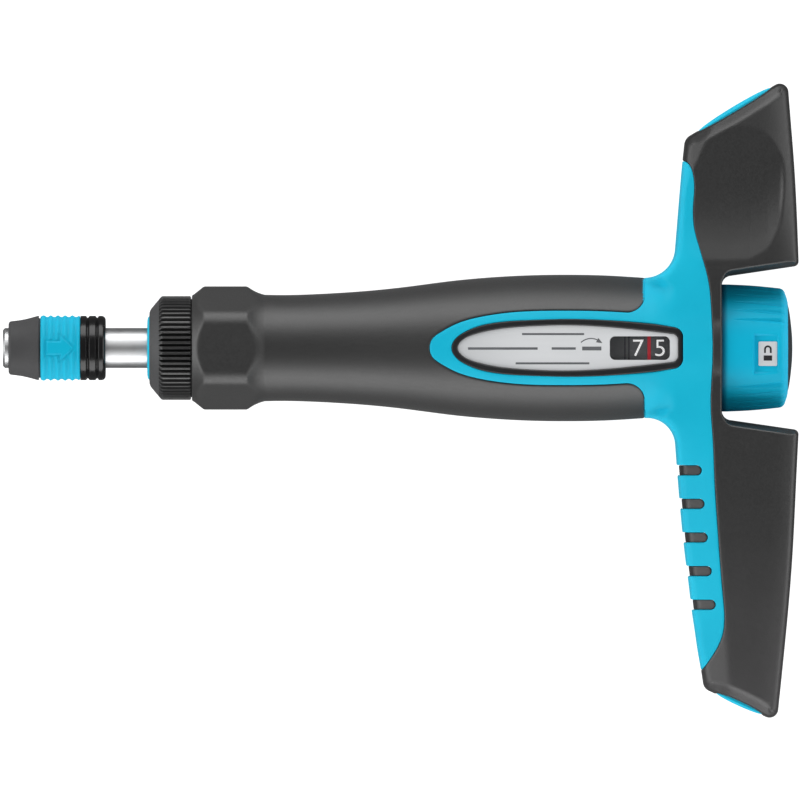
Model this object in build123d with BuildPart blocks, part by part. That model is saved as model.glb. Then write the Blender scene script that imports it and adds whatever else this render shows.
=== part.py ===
from build123d import *
import os

os.makedirs("parts", exist_ok=True)

# ---------------------------------------------------------------------------
# Torque screwdriver with T-handle.  Millimetres.
# X runs along the tool axis from the mouth of the bit socket to the knob,
# Y along the arms (short arm on the +Y side), Z up out of the scale window.
# ---------------------------------------------------------------------------

# bit holder and shaft
bit_af = 6.35            # hexagon of the bit, across flats
bit_depth = 14.0
shaft_r = 5.0
shank_end = 49.5
ball_r = 1.1
ball_x = 9.4
ball_y = 3.95            # the ball sits in a corner of the hexagon
sleeve_travel = 3.0
sleeve_x0, sleeve_x1 = 1.4, 25.75

# front lock
lock_travel = 3.0
lock_teeth = 12
ring_x0, ring_x1 = 36.9, 46.9
ring_r = 13.0
ring_knurls = 60
snout_r = 9.65

# handle
collar_x0 = 47.25
collar_flat = 14.0       # half the width across the flats of the hexagon
collar_edge_r = 4.2
rubber_t = 1.6
grip_end = 160.3
notch_x = 179.7
t_half = 13.5            # half thickness of the arms
hub_r = 17.5
cover_t = 2.4

# clutch and setting gear
tube_r = 10.2
hex_af = 15.6            # hexagonal bore of the mechanism tube
hex_slide = 15.5         # hexagonal pieces that slide in it
plate_t = 1.0
plate_gap = 0.02
nut_x0, nut_x1 = 118.0, 127.0
spindle_r = 4.0
drum_r = 13.6
drum_x0, drum_x1 = 150.0, 168.5
crown_teeth = 40

# knob
knob_travel = 2.0
knob_x0 = 178.2
knob_turn = -5.85        # how far the symbol is turned from straight up, degrees


def band(x0, x1, r0, r1):
    """Rectangle of a turned section, drawn between two radii."""
    with Locations(((x0 + x1) / 2, (r0 + r1) / 2)):
        Rectangle(x1 - x0, r1 - r0)


# grip outline: radius along the axis
grip_line = [
    (65.4, 13.33), (70.0, 13.27), (78.1, 13.49), (89.4, 14.17), (100.6, 15.29),
    (111.9, 16.76), (123.1, 17.77), (134.4, 18.28), (141.9, 18.335),
    (149.4, 18.21), (160.3, 17.58),
]

# ---------------------------------------------------------------------------
# Output shaft and bit holder
# ---------------------------------------------------------------------------
with BuildPart() as drive_shaft:
    with BuildSketch(Plane.XY):
        with BuildLine():
            Polyline(
                (0, 0), (0, shaft_r - 0.5), (0.5, shaft_r),
                (25.05, shaft_r), (25.05, 4.55), (25.55, 4.55), (25.55, shaft_r),
                (65.9, shaft_r), (65.9, 7.4), (68.4, 7.4), (68.4, 3.0),
                (83.5, 3.0), (84.0, 2.5), (84.0, 0), (0, 0),
            )
        make_face()
    revolve(axis=Axis.X)
    # groove of the stop ring
    with BuildSketch(Plane.XY):
        band(6.3, 7.4, 4.6, 5.5)
    revolve(axis=Axis.X, mode=Mode.SUBTRACT)
    # hexagon that carries the inner clutch plates
    with BuildSketch(Plane.YZ.offset(68.4)):
        RegularPolygon(4.5, 6, major_radius=False)
    extrude(amount=11.6)
    # lock splines
    with BuildSketch(Plane.YZ.offset(shank_end)):
        with PolarLocations(5.35, lock_teeth):
            Rectangle(1.1, 1.2)
    extrude(amount=2.5)
    # bit socket
    with BuildSketch(Plane.YZ):
        RegularPolygon(bit_af / 2, 6, major_radius=False)
    extrude(amount=bit_depth, mode=Mode.SUBTRACT)
    with BuildSketch(Plane.XY):
        with BuildLine():
            Polyline((0, 0), (0, 3.95), (0.7, 3.2), (0.7, 0), (0, 0))
        make_face()
        band(bit_depth, 18.0, 0, 2.6)
    revolve(axis=Axis.X, mode=Mode.SUBTRACT)
    # hole of the lock ball, through the wall on the +Y side
    with BuildSketch(Plane.XZ.offset(-2.0)):
        with Locations((ball_x, 0)):
            Circle(ball_r + 0.04)
    extrude(amount=-4.0, mode=Mode.SUBTRACT)
drive_shaft.part.label = "drive_shaft"
export_step(drive_shaft.part, "parts/drive_shaft.step")

with BuildPart() as bit_magnet:
    with BuildSketch(Plane.YZ.offset(14.3)):
        Circle(2.55)
    extrude(amount=3.65)
    chamfer(bit_magnet.edges().group_by(Axis.X)[0], 0.3)
bit_magnet.part.label = "bit_magnet"
export_step(bit_magnet.part, "parts/bit_magnet.step")

with BuildPart() as bit_lock_ball:
    with Locations((ball_x, ball_y, 0)):
        Sphere(ball_r)
bit_lock_ball.part.label = "bit_lock_ball"
export_step(bit_lock_ball.part, "parts/bit_lock_ball.step")

with BuildPart() as sleeve_stop_ring:
    with BuildSketch(Plane.XY):
        band(6.35, 7.35, 4.63, 5.95)
    revolve(axis=Axis.X)
    # open snap ring
    with BuildSketch(Plane.YZ.offset(6.0)):
        with Locations((-5.3, 0)):
            Rectangle(2.4, 2.0)
    extrude(amount=2.0, mode=Mode.SUBTRACT)
sleeve_stop_ring.part.label = "sleeve_stop_ring"
export_step(sleeve_stop_ring.part, "parts/sleeve_stop_ring.step")

with BuildPart() as chuck_sleeve:
    with BuildSketch(Plane.XY) as sleeve_section:
        with BuildLine():
            Line((1.4, 5.1), (1.4, 5.85))
            ThreePointArc((1.4, 5.85), (1.62, 6.46), (2.2, 6.72))
            Spline((2.2, 6.72), (3.6, 6.88), (5.9, 7.29), (7.4, 7.68), (8.9, 8.08))
            Polyline(
                (8.9, 8.08), (9.35, 8.08), (9.35, 7.3), (19.4, 7.3), (19.4, 8.0),
                (20.8, 8.0), (21.2, 7.55), (21.6, 8.0), (23.2, 8.0), (23.6, 7.55),
                (24.0, 8.0), (24.9, 8.0),
            )
            ThreePointArc((24.9, 8.0), (25.5, 7.75), (25.75, 7.15))
            Polyline(
                (25.75, 7.15), (25.75, 6.95), (11.4, 6.95), (11.4, 5.1),
                (7.5, 5.1), (7.5, 6.3), (3.0, 6.3), (3.0, 5.1), (1.4, 5.1),
            )
        make_face()
    revolve(axis=Axis.X)
chuck_sleeve.part.label = "chuck_sleeve"
export_step(chuck_sleeve.part, "parts/chuck_sleeve.step")

with BuildPart() as sleeve_grip_ring:
    rib_x = [10.25, 12.04, 13.83, 15.62, 17.41, 19.2]
    with BuildSketch(Plane.XY):
        with BuildLine():
            Line((9.4, 7.33), (9.4, 7.95))
            pts = [(9.4, 7.95)]
            for i, x in enumerate(rib_x):
                if i:
                    pts.append((x - 0.895, 7.84))
                pts.append((x, 8.16))
            pts[-1] = (18.9, 8.12)
            pts.append((19.35, 7.95))
            Spline(*pts)
            Polyline((19.35, 7.95), (19.35, 7.33), (9.4, 7.33))
        make_face()
    revolve(axis=Axis.X)
sleeve_grip_ring.part.label = "sleeve_grip_ring"
export_step(sleeve_grip_ring.part, "parts/sleeve_grip_ring.step")

with BuildPart() as chuck_spring:
    with BuildLine() as chuck_coil:
        Helix(pitch=1.9, height=11.2, radius=5.95, center=(11.85, 0, 0), direction=(1, 0, 0))
    with BuildSketch(Plane(origin=chuck_coil.line @ 0, z_dir=chuck_coil.line % 0)):
        Circle(0.4)
    sweep(path=chuck_coil.line, is_frenet=True)
chuck_spring.part.label = "chuck_spring"
export_step(chuck_spring.part, "parts/chuck_spring.step")

with BuildPart() as chuck_spring_seat:
    with BuildSketch(Plane.XY):
        band(23.6, 25.0, 5.05, 6.85)
    revolve(axis=Axis.X)
chuck_spring_seat.part.label = "chuck_spring_seat"
export_step(chuck_spring_seat.part, "parts/chuck_spring_seat.step")

with BuildPart() as seat_snap_ring:
    with BuildSketch(Plane.XY):
        band(25.08, 25.52, 4.6, 6.1)
    revolve(axis=Axis.X)
    with BuildSketch(Plane.YZ.offset(24.8)):
        with Locations((-5.4, 0)):
            Rectangle(2.6, 2.0)
    extrude(amount=1.0, mode=Mode.SUBTRACT)
seat_snap_ring.part.label = "seat_snap_ring"
export_step(seat_snap_ring.part, "parts/seat_snap_ring.step")

# ---------------------------------------------------------------------------
# Front lock
# ---------------------------------------------------------------------------
with BuildPart() as lock_ring:
    with BuildSketch(Plane.XY):
        with BuildLine():
            Polyline(
                (36.9, 8.1), (36.9, 9.6), (37.05, 9.78), (40.0, 12.85), (40.3, ring_r),
                (46.6, ring_r), (46.9, 12.7), (46.9, 9.72), (40.0, 9.72), (40.0, 7.28),
                (38.06, 7.28), (38.06, 8.1), (36.9, 8.1),
            )
        make_face()
    revolve(axis=Axis.X)
    # straight knurl
    with BuildSketch(Plane.YZ.offset(38.6)):
        with PolarLocations(ring_r + 0.05, ring_knurls):
            Rectangle(1.1, 0.62)
    extrude(amount=10.0, mode=Mode.SUBTRACT)
lock_ring.part.label = "lock_ring"
export_step(lock_ring.part, "parts/lock_ring.step")

with BuildPart() as nose_flange:
    with BuildSketch(Plane.XY):
        with BuildLine():
            Line((36.4, 5.3), (36.05, 5.6))
            ThreePointArc((36.05, 5.6), (36.35, 7.2), (37.2, 8.0))
            Polyline((37.2, 8.0), (38.0, 8.0), (38.0, 5.3), (36.4, 5.3))
        make_face()
    revolve(axis=Axis.X)
nose_flange.part.label = "nose_flange"
export_step(nose_flange.part, "parts/nose_flange.step")

with BuildPart() as lock_dog:
    with BuildSketch(Plane.XY):
        band(38.02, 53.2, 6.15, 7.2)
    revolve(axis=Axis.X)
    with BuildSketch(Plane.XY):
        band(40.05, 40.95, 6.9, 7.6)
    revolve(axis=Axis.X, mode=Mode.SUBTRACT)
    with BuildSketch(Plane.YZ.offset(53.2)):
        RegularPolygon(hex_slide / 2, 6, major_radius=False)
        Circle(5.08, mode=Mode.SUBTRACT)
        with PolarLocations(5.5, lock_teeth):
            Rectangle(1.4, 1.42, mode=Mode.SUBTRACT)
    extrude(amount=3.0)
lock_dog.part.label = "lock_dog"
export_step(lock_dog.part, "parts/lock_dog.step")

with BuildPart() as lock_circlip:
    with BuildSketch(Plane.XY):
        band(40.1, 40.9, 6.93, 8.6)
    revolve(axis=Axis.X)
    with BuildSketch(Plane.YZ.offset(39.8)):
        with Locations((0, -8.0)):
            Rectangle(3.0, 3.0)
    extrude(amount=1.5, mode=Mode.SUBTRACT)
lock_circlip.part.label = "lock_circlip"
export_step(lock_circlip.part, "parts/lock_circlip.step")

with BuildPart() as ring_o_ring:
    with BuildSketch(Plane.XY):
        with Locations((44.2, 9.15)):
            Circle(0.5)
    revolve(axis=Axis.X)
ring_o_ring.part.label = "ring_o_ring"
export_step(ring_o_ring.part, "parts/ring_o_ring.step")

# ---------------------------------------------------------------------------
# Clutch and setting gear
# ---------------------------------------------------------------------------
with BuildPart() as mechanism_tube:
    with BuildSketch(Plane.YZ.offset(48.55)):
        Circle(tube_r)
    extrude(amount=97.45)
    chamfer(mechanism_tube.edges().group_by(Axis.X)[0], 0.4)
    with BuildSketch(Plane.YZ.offset(48.55)):
        RegularPolygon(hex_af / 2, 6, major_radius=False)
    extrude(amount=11.95, mode=Mode.SUBTRACT)
    with BuildSketch(Plane.YZ.offset(60.5)):
        Circle(6.5)
    extrude(amount=4.0, mode=Mode.SUBTRACT)
    with BuildSketch(Plane.YZ.offset(64.5)):
        RegularPolygon(hex_af / 2, 6, major_radius=False)
    extrude(amount=75.5, mode=Mode.SUBTRACT)
    with BuildSketch(Plane.YZ.offset(140.0)):
        Circle(9.2)
    extrude(amount=6.1, mode=Mode.SUBTRACT)
    # holes of the two cross pins
    with BuildSketch(Plane.XZ.offset(-8.4)):
        with Locations((62.5, 0)):
            Circle(1.03)
    extrude(amount=-3.0, mode=Mode.SUBTRACT)
    with BuildSketch(Plane.XZ.offset(8.4)):
        with Locations((62.5, 0)):
            Circle(1.03)
    extrude(amount=3.0, mode=Mode.SUBTRACT)
mechanism_tube.part.label = "mechanism_tube"
export_step(mechanism_tube.part, "parts/mechanism_tube.step")

with BuildPart() as tube_pins:
    with BuildSketch(Plane.XZ.offset(-8.5)):
        with Locations((62.5, 0)):
            Circle(1.0)
    extrude(amount=-3.0)
    with BuildSketch(Plane.XZ.offset(8.5)):
        with Locations((62.5, 0)):
            Circle(1.0)
    extrude(amount=3.0)
tube_pins.part.label = "tube_pins"
export_step(tube_pins.part, "parts/tube_pins.step")

with BuildPart() as front_bearing:
    with BuildSketch(Plane.XY):
        band(60.5, 64.5, 5.03, 6.46)
    revolve(axis=Axis.X)
front_bearing.part.label = "front_bearing"
export_step(front_bearing.part, "parts/front_bearing.step")

with BuildPart() as thrust_washer:
    with BuildSketch(Plane.XY):
        band(64.54, 65.86, 5.06, 7.6)
    revolve(axis=Axis.X)
thrust_washer.part.label = "thrust_washer"
export_step(thrust_washer.part, "parts/thrust_washer.step")

plate_x0 = 68.42
plate_step = plate_t + plate_gap
with BuildPart() as clutch_outer_plates:
    for i in (0, 2, 4, 6):
        with BuildSketch(Plane.YZ.offset(plate_x0 + i * plate_step)):
            RegularPolygon(hex_slide / 2, 6, major_radius=False)
            Circle(5.3, mode=Mode.SUBTRACT)
        extrude(amount=plate_t)
clutch_outer_plates.part.label = "clutch_outer_plates"
export_step(clutch_outer_plates.part, "parts/clutch_outer_plates.step")

with BuildPart() as clutch_inner_plates:
    for i in (1, 3, 5):
        with BuildSketch(Plane.YZ.offset(plate_x0 + i * plate_step)):
            Circle(7.5)
            RegularPolygon(4.53, 6, major_radius=False, mode=Mode.SUBTRACT)
        extrude(amount=plate_t)
clutch_inner_plates.part.label = "clutch_inner_plates"
export_step(clutch_inner_plates.part, "parts/clutch_inner_plates.step")

press_x0 = plate_x0 + 7 * plate_step
with BuildPart() as pressure_plate:
    with BuildSketch(Plane.YZ.offset(press_x0)):
        RegularPolygon(hex_slide / 2, 6, major_radius=False)
    extrude(amount=79.5 - press_x0)
    with BuildSketch(Plane.YZ.offset(79.5)):
        Circle(5.4)
    extrude(amount=3.5)
    with BuildSketch(Plane.YZ.offset(press_x0)):
        Circle(5.3)
    extrude(amount=80.2 - press_x0, mode=Mode.SUBTRACT)
    with BuildSketch(Plane.YZ.offset(80.2)):
        Circle(3.05)
    extrude(amount=3.0, mode=Mode.SUBTRACT)
pressure_plate.part.label = "pressure_plate"
export_step(pressure_plate.part, "parts/pressure_plate.step")

with BuildPart() as main_spring:
    with BuildLine() as main_coil:
        Helix(pitch=3.6, height=36.1, radius=6.55, center=(80.7, 0, 0), direction=(1, 0, 0))
    with BuildSketch(Plane(origin=main_coil.line @ 0, z_dir=main_coil.line % 0)):
        Circle(1.0)
    sweep(path=main_coil.line, is_frenet=True)
main_spring.part.label = "main_spring"
export_step(main_spring.part, "parts/main_spring.step")

with BuildPart() as spring_nut:
    with BuildSketch(Plane.YZ.offset(nut_x0)):
        RegularPolygon(hex_slide / 2, 6, major_radius=False)
    extrude(amount=nut_x1 - nut_x0)
    with BuildSketch(Plane.YZ.offset(nut_x0 - 3.0)):
        Circle(5.4)
    extrude(amount=3.0)
    with BuildSketch(Plane.YZ.offset(nut_x0 - 3.1)):
        Circle(spindle_r + 0.05)
    extrude(amount=12.2, mode=Mode.SUBTRACT)
spring_nut.part.label = "spring_nut"
export_step(spring_nut.part, "parts/spring_nut.step")

with BuildPart() as setting_spindle:
    with BuildSketch(Plane.XY):
        with BuildLine():
            Polyline(
                (104.0, 0), (104.0, 3.5), (104.5, spindle_r), (133.0, spindle_r),
                (133.0, 3.6), (136.0, 3.6), (136.0, 7.5), (138.5, 7.5), (138.5, 4.5),
                (178.1, 4.5), (178.1, 3.4), (190.5, 3.4), (190.5, 0), (104.0, 0),
            )
        make_face()
    revolve(axis=Axis.X)
    with BuildSketch(Plane.YZ.offset(178.1)):
        RegularPolygon(3.5, 6, major_radius=False)
    extrude(amount=12.4)
    with BuildSketch(Plane.YZ.offset(182.5)):
        Circle(1.5)
    extrude(amount=8.1, mode=Mode.SUBTRACT)
setting_spindle.part.label = "setting_spindle"
export_step(setting_spindle.part, "parts/setting_spindle.step")

with BuildPart() as spindle_thrust_washer:
    with BuildSketch(Plane.XY):
        band(138.54, 139.96, 4.56, 7.5)
    revolve(axis=Axis.X)
spindle_thrust_washer.part.label = "spindle_thrust_washer"
export_step(spindle_thrust_washer.part, "parts/spindle_thrust_washer.step")

with BuildPart() as tube_plug:
    with BuildSketch(Plane.XY):
        band(140.0, 145.5, 4.56, 9.15)
    revolve(axis=Axis.X)
    with BuildSketch(Plane.YZ.offset(143.0)):
        with PolarLocations(7.0, 2):
            Circle(0.9)
    extrude(amount=3.0, mode=Mode.SUBTRACT)
tube_plug.part.label = "tube_plug"
export_step(tube_plug.part, "parts/tube_plug.step")

with BuildPart() as scale_drum:
    with BuildSketch(Plane.XY):
        band(drum_x0, drum_x1, drum_r - 1.4, drum_r)
        band(157.6, 160.8, 4.53, drum_r - 1.0)
        band(152.5, 166.0, 4.53, 7.0)
    revolve(axis=Axis.X)
scale_drum.part.label = "scale_drum"
export_step(scale_drum.part, "parts/scale_drum.step")

with BuildPart() as rear_cover:
    with BuildSketch(Plane.XY):
        band(170.4, 175.4, 4.56, 13.95)
        with BuildLine():
            Polyline(
                (175.4, 12.95), (181.3, 12.95), (181.3, 14.2), (180.75, 14.2), (180.75, 13.2),
                (179.45, 13.2), (179.45, 14.2), (175.4, 14.2), (175.4, 12.95),
            )
        make_face()
    revolve(axis=Axis.X)
    # ring of lock teeth
    with BuildSketch(Plane.YZ.offset(175.4)):
        with PolarLocations(11.3, crown_teeth):
            Rectangle(2.4, 0.74)
    extrude(amount=1.5)
rear_cover.part.label = "rear_cover"
export_step(rear_cover.part, "parts/rear_cover.step")

# ---------------------------------------------------------------------------
# Knob
# ---------------------------------------------------------------------------
symbol_plane = Plane(origin=(191.0, 0, 0), x_dir=(1, 0, 0), z_dir=(0, 0, 1)).rotated((knob_turn * -1, 0, 0))

with BuildPart() as knob:
    with BuildSketch(Plane.XY):
        with BuildLine():
            Line((knob_x0, 14.55), (knob_x0, 15.9))
            Line((knob_x0, 15.9), (181.0, 15.9))
            Spline((181.0, 15.9), (187.2, 15.6), (194.0, 14.95))
            ThreePointArc((194.0, 14.95), (195.0, 14.5), (195.5, 13.6))
            Spline((195.5, 13.6), (195.95, 12.3), (196.15, 11.35))
            Polyline(
                (196.15, 11.35), (195.05, 11.35), (195.05, 10.4), (187.0, 10.4),
                (187.0, 6.4), (190.45, 6.4), (190.45, 3.0), (180.5, 3.0), (180.5, 6.4),
                (184.0, 6.4), (184.0, 10.0), (180.0, 10.0), (180.0, 12.6), (183.6, 12.6), (183.6, 14.55),
                (knob_x0, 14.55),
            )
        make_face()
    revolve(axis=Axis.X)
    with BuildSketch(Plane.YZ.offset(180.4)):
        RegularPolygon(3.54, 6, major_radius=False)
    extrude(amount=10.2, mode=Mode.SUBTRACT)
    # ring of lock teeth, half a pitch away from those of the cover
    with BuildSketch(Plane.YZ.offset(177.5)):
        with PolarLocations(11.3, crown_teeth, start_angle=180.0 / crown_teeth):
            Rectangle(2.4, 0.74)
    extrude(amount=2.6)
    # shallow grip grooves all round except beside the symbol
    with BuildSketch(Plane.YZ.offset(183.5)):
        with PolarLocations(15.85, 30, start_angle=90.0 - knob_turn + 32.5, angular_range=295.0 * 30 / 29):
            Circle(0.45)
    extrude(amount=13.0, taper=-3.7, mode=Mode.SUBTRACT)
    # pocket of the symbol plate
    with BuildSketch(symbol_plane.offset(13.9)):
        with Locations((-0.05, 0.0)):
            RectangleRounded(5.9, 9.6, 0.6)
    extrude(amount=3.0, mode=Mode.SUBTRACT)
knob.part.label = "knob"
export_step(knob.part, "parts/knob.step")

with BuildPart() as lock_symbol_plate:
    with BuildSketch(symbol_plane.offset(13.9)):
        with Locations((0.07, 0.0)):
            RectangleRounded(4.65, 6.1, 0.35)
    extrude(amount=0.4)
lock_symbol_plate.part.label = "lock_symbol_plate"
export_step(lock_symbol_plate.part, "parts/lock_symbol_plate.step")

with BuildPart() as knob_o_ring:
    with BuildSketch(Plane.XY):
        with Locations((180.1, 13.85)):
            Circle(0.6)
    revolve(axis=Axis.X)
knob_o_ring.part.label = "knob_o_ring"
export_step(knob_o_ring.part, "parts/knob_o_ring.step")

with BuildPart() as knob_cap:
    with BuildSketch(Plane.XY):
        with BuildLine():
            Polyline((195.1, 0), (195.1, 11.25), (196.1, 11.25))
            Spline((196.1, 11.25), (196.9975, 6.0), (197.26, 3.0), (197.35, 0), tangents=((0.25, -1), (0, -1)))
            Line((197.35, 0), (195.1, 0))
        make_face()
    revolve(axis=Axis.X)
knob_cap.part.label = "knob_cap"
export_step(knob_cap.part, "parts/knob_cap.step")

with BuildPart() as knob_washer:
    with BuildSketch(Plane.XY):
        band(190.52, 191.3, 1.6, 5.8)
    revolve(axis=Axis.X)
knob_washer.part.label = "knob_washer"
export_step(knob_washer.part, "parts/knob_washer.step")

with BuildPart() as knob_screw:
    with BuildSketch(Plane.XY):
        band(183.0, 191.32, 0, 1.45)
        band(191.32, 192.8, 0, 2.7)
    revolve(axis=Axis.X)
    with BuildSketch(Plane.YZ.offset(191.9)):
        RegularPolygon(1.25, 6, major_radius=False)
    extrude(amount=1.0, mode=Mode.SUBTRACT)
knob_screw.part.label = "knob_screw"
export_step(knob_screw.part, "parts/knob_screw.step")

# ---------------------------------------------------------------------------
# Handle: outlines
# ---------------------------------------------------------------------------
# Outline of the arms seen from above, edge by edge, clockwise.
arm_edges = [
    [(161.5, 17.5), (167.6, 17.0)],
    [(167.6, 17.0), (170.55, 52.4)],
    [(170.55, 52.4), (195.8, 67.6)],
    [(195.8, 67.6), (197.75, 45.9), (198.95, 20.55)],
    [(198.95, 20.55), (notch_x, 17.7)],
    [(notch_x, 17.7), (notch_x, -17.7)],
    [(notch_x, -17.7), (198.95, -20.5)],
    [(198.95, -20.5), (198.4, -31.4), (197.3, -53.1), (195.5, -74.1), (193.5, -93.5)],
    [(193.5, -93.5), (174.35, -84.75)],
    [(174.35, -84.75), (172.85, -69.6), (170.7, -53.1), (169.0, -36.6), (167.55, -17.0)],
    [(167.55, -17.0), (161.5, -17.5)],
    [(161.5, -17.5), (161.5, 17.5)],
]
# corner number, radius, +1 where the corner is hollow
arm_corners = [(0, 5.6, 1), (9, 5.6, 1), (4, 2.4, 1), (5, 2.4, 1), (1, 2.8, -1), (8, 2.8, -1), (2, 2.2, -1), (7, 2.2, -1), (3, 1.3, -1), (6, 1.3, -1)]


def shifted_edges(depth):
    """The arm edges moved inwards by a depth, with their corners joined again."""
    moved = []
    for edge in arm_edges:
        sides = []
        for (x0, y0), (x1, y1) in zip(edge, edge[1:]):
            length = ((x1 - x0) ** 2 + (y1 - y0) ** 2) ** 0.5
            sides.append(((y1 - y0) / length, (x0 - x1) / length))
        points = []
        for k, (x, y) in enumerate(edge):
            near = sides[max(k - 1, 0):k + 1]
            nx = sum(n[0] for n in near)
            ny = sum(n[1] for n in near)
            length = (nx * nx + ny * ny) ** 0.5
            points.append((x + depth * nx / length, y + depth * ny / length))
        moved.append(points)
    for k in range(len(moved)):
        one, two = moved[k], moved[(k + 1) % len(moved)]
        (ax, ay), (bx, by) = one[-2], one[-1]
        (cx, cy), (dx, dy) = two[0], two[1]
        det = (bx - ax) * (dy - cy) - (by - ay) * (dx - cx)
        t = ((cx - ax) * (dy - cy) - (cy - ay) * (dx - cx)) / det
        one[-1] = two[0] = (ax + t * (bx - ax), ay + t * (by - ay))
    return moved


def arm_sketch(depth):
    """Outline of the arms, moved inwards by a depth."""
    edges = shifted_edges(depth)
    with BuildSketch() as sk:
        with BuildLine():
            for edge in edges:
                if len(edge) == 2:
                    Line(*edge)
                else:
                    Spline(*edge)
        make_face()
        for k, r, hollow in arm_corners:
            radius = min(r + hollow * depth, 5.8 - 0.3 * depth)
            if radius > 0.5:
                fillet(sk.vertices().sort_by_distance(edges[k][-1])[0], radius)
    return sk.sketch


def scale_sketch(half, end_x, end_y, radius, depth):
    """Outline of the scale frame or plate, mirrored on both sides of the axis."""
    line = [(x + depth if k == 0 else x, y - depth if k else 0.0) for k, (x, y) in enumerate(half)]
    ex, ey = end_x - depth, end_y - depth
    with BuildSketch() as sk:
        with BuildLine():
            Spline(*line)
            Spline(*[(x, -y) for x, y in line])
            Polyline(line[-1], (ex, ey), (ex, -ey), (line[-1][0], -line[-1][1]))
        make_face()
        fillet(sk.vertices().sort_by_distance((ex, ey))[0], radius)
        fillet(sk.vertices().sort_by_distance((ex, -ey))[0], radius)
    return sk.sketch


# Border between the turquoise core and the dark cover, seen from above.
cover_border = [
    (169.0, 47.0), (170.6, 46.5), (171.9, 44.9), (172.6, 42.4), (172.75, 40.0), (172.5, 36.0),
    (172.45, 32.5), (172.9, 29.0), (173.9, 25.4), (175.2, 20.9), (176.3, 16.4), (176.8, 12.0),
    (177.15, 6.0), (177.15, -6.0), (176.8, -13.0), (177.0, -18.2), (177.4, -24.0), (177.7, -32.6),
    (178.25, -41.6), (179.0, -52.1), (179.75, -61.1), (180.2, -68.0), (179.9, -71.0),
    (178.6, -74.6), (176.8, -77.6), (175.3, -79.6), (172.5, -82.0),
]
with BuildSketch() as cover_field:
    with BuildLine():
        Spline(*cover_border)
        Polyline((172.5, -82.0), (165.0, -82.0), (165.0, -100.0), (205.0, -100.0), (205.0, 75.0), (165.0, 75.0), (165.0, 47.0), (169.0, 47.0))
    make_face()

# Opening of the soft grip round the scale, seen from above.
tongue_half = [
    (106.6, 0.0), (107.1, 2.0), (109.4, 4.0), (113.1, 6.0), (120.1, 8.0), (127.4, 9.0),
    (141.4, 9.4), (150.0, 9.25), (155.4, 8.95),
]
with BuildSketch() as tongue_field:
    with BuildLine():
        Spline(*tongue_half)
        Spline(*[(x, -y) for x, y in tongue_half])
        ThreePointArc((155.4, 8.95), (159.0, 10.2), (160.35, 13.0))
        Polyline((160.35, 13.0), (162.0, 20.0), (162.0, -20.0), (160.35, -13.0))
        ThreePointArc((160.35, -13.0), (159.0, -10.2), (155.4, -8.95))
    make_face()

# Dark frame round the scale plate, and the plate, seen from above.
bezel_half = [
    (112.05, 0.0), (112.8, 2.0), (115.4, 4.0), (117.6, 5.0), (122.0, 6.15), (131.0, 7.0), (141.4, 7.3), (151.0, 7.0), (163.0, 5.95),
]
plate_half = [
    (113.75, 0.0), (114.5, 1.3), (118.5, 3.0), (124.1, 4.55), (132.6, 5.3), (140.5, 5.55), (146.0, 5.4), (154.2, 4.8), (163.0, 3.85),
]

# Five finger slots on the long arm.
slot_y = [-30.6, -38.95, -47.35, -55.75, -64.15]
slot_x = [174.5, 175.2, 176.0, 177.0, 178.0]
with BuildSketch() as slot_field:
    for sy, sx in zip(slot_y, slot_x):
        with BuildLine():
            Line((160.0, sy - 1.25), (sx - 1.25, sy - 1.25))
            ThreePointArc((sx - 1.25, sy - 1.25), (sx, sy), (sx - 1.25, sy + 1.25))
            Polyline((sx - 1.25, sy + 1.25), (160.0, sy + 1.25), (160.0, sy - 1.25))
        make_face()

# Solid of the whole grip, and of the core inside the soft skin.
with BuildPart() as grip_body:
    with BuildSketch(Plane.XY):
        with BuildLine():
            Polyline((collar_x0, 0), (collar_x0, 13.1), (47.9, 13.5), (50.4, 15.55), (60.9, 15.55))
            ThreePointArc((60.9, 15.55), (63.2, 14.1), (65.4, 13.33))
            Spline(*grip_line)
            Polyline((160.3, 17.58), (160.6, hub_r), (notch_x, hub_r), (notch_x, 0), (collar_x0, 0))
        make_face()
    revolve(axis=Axis.X)

with BuildPart() as arm_body:
    add(arm_sketch(0.0))
    extrude(amount=t_half, both=True)
    rim = [
        e for e in arm_body.edges()
        if abs(abs(e.center().Z) - t_half) < 0.01 and e.center().X > 161.6
    ]
    fillet(rim, 1.25)

with BuildPart() as arm_inner:
    add(arm_sketch(cover_t))
    extrude(amount=t_half - cover_t, both=True)

# Skins that shape the finger slots.
with BuildPart() as slot_floor:
    add(arm_sketch(2.2))
    extrude(amount=t_half - 2.2, both=True)

with BuildPart() as slot_face:
    add(arm_sketch(0.55))
    extrude(amount=t_half - 0.55, both=True)

with BuildPart() as slot_cut:
    add(slot_field.sketch)
    extrude(amount=20.0, both=True)
    add(slot_floor.part, mode=Mode.SUBTRACT)

# Part of the core that comes up round the scale.
with BuildPart() as tongue_body:
    add(tongue_field.sketch)
    extrude(amount=25.0)
    add(grip_body.part, mode=Mode.INTERSECT)

# Plugs in the ends of the arms.
upper_end = Plane(origin=(182.9, 59.83, 0), x_dir=(0.8568, 0.5157, 0), z_dir=(-0.5157, 0.8568, 0))
lower_end = Plane(origin=(184.1, -89.2, 0), x_dir=(0.9096, -0.4156, 0), z_dir=(-0.4156, -0.9096, 0))
plug_depth = 3.4

with BuildPart() as plug_seats:
    with BuildSketch(upper_end.offset(-plug_depth)):
        Ellipse(9.75, 7.9)
    extrude(amount=plug_depth + 3.0)
    with BuildSketch(lower_end.offset(-plug_depth)):
        Ellipse(5.9, 5.0)
    extrude(amount=plug_depth + 3.0)

with BuildPart() as upper_end_plug:
    with BuildSketch(upper_end.offset(-plug_depth)):
        Ellipse(9.7, 7.85)
    extrude(amount=plug_depth)
upper_end_plug.part.label = "upper_end_plug"
export_step(upper_end_plug.part, "parts/upper_end_plug.step")

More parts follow.
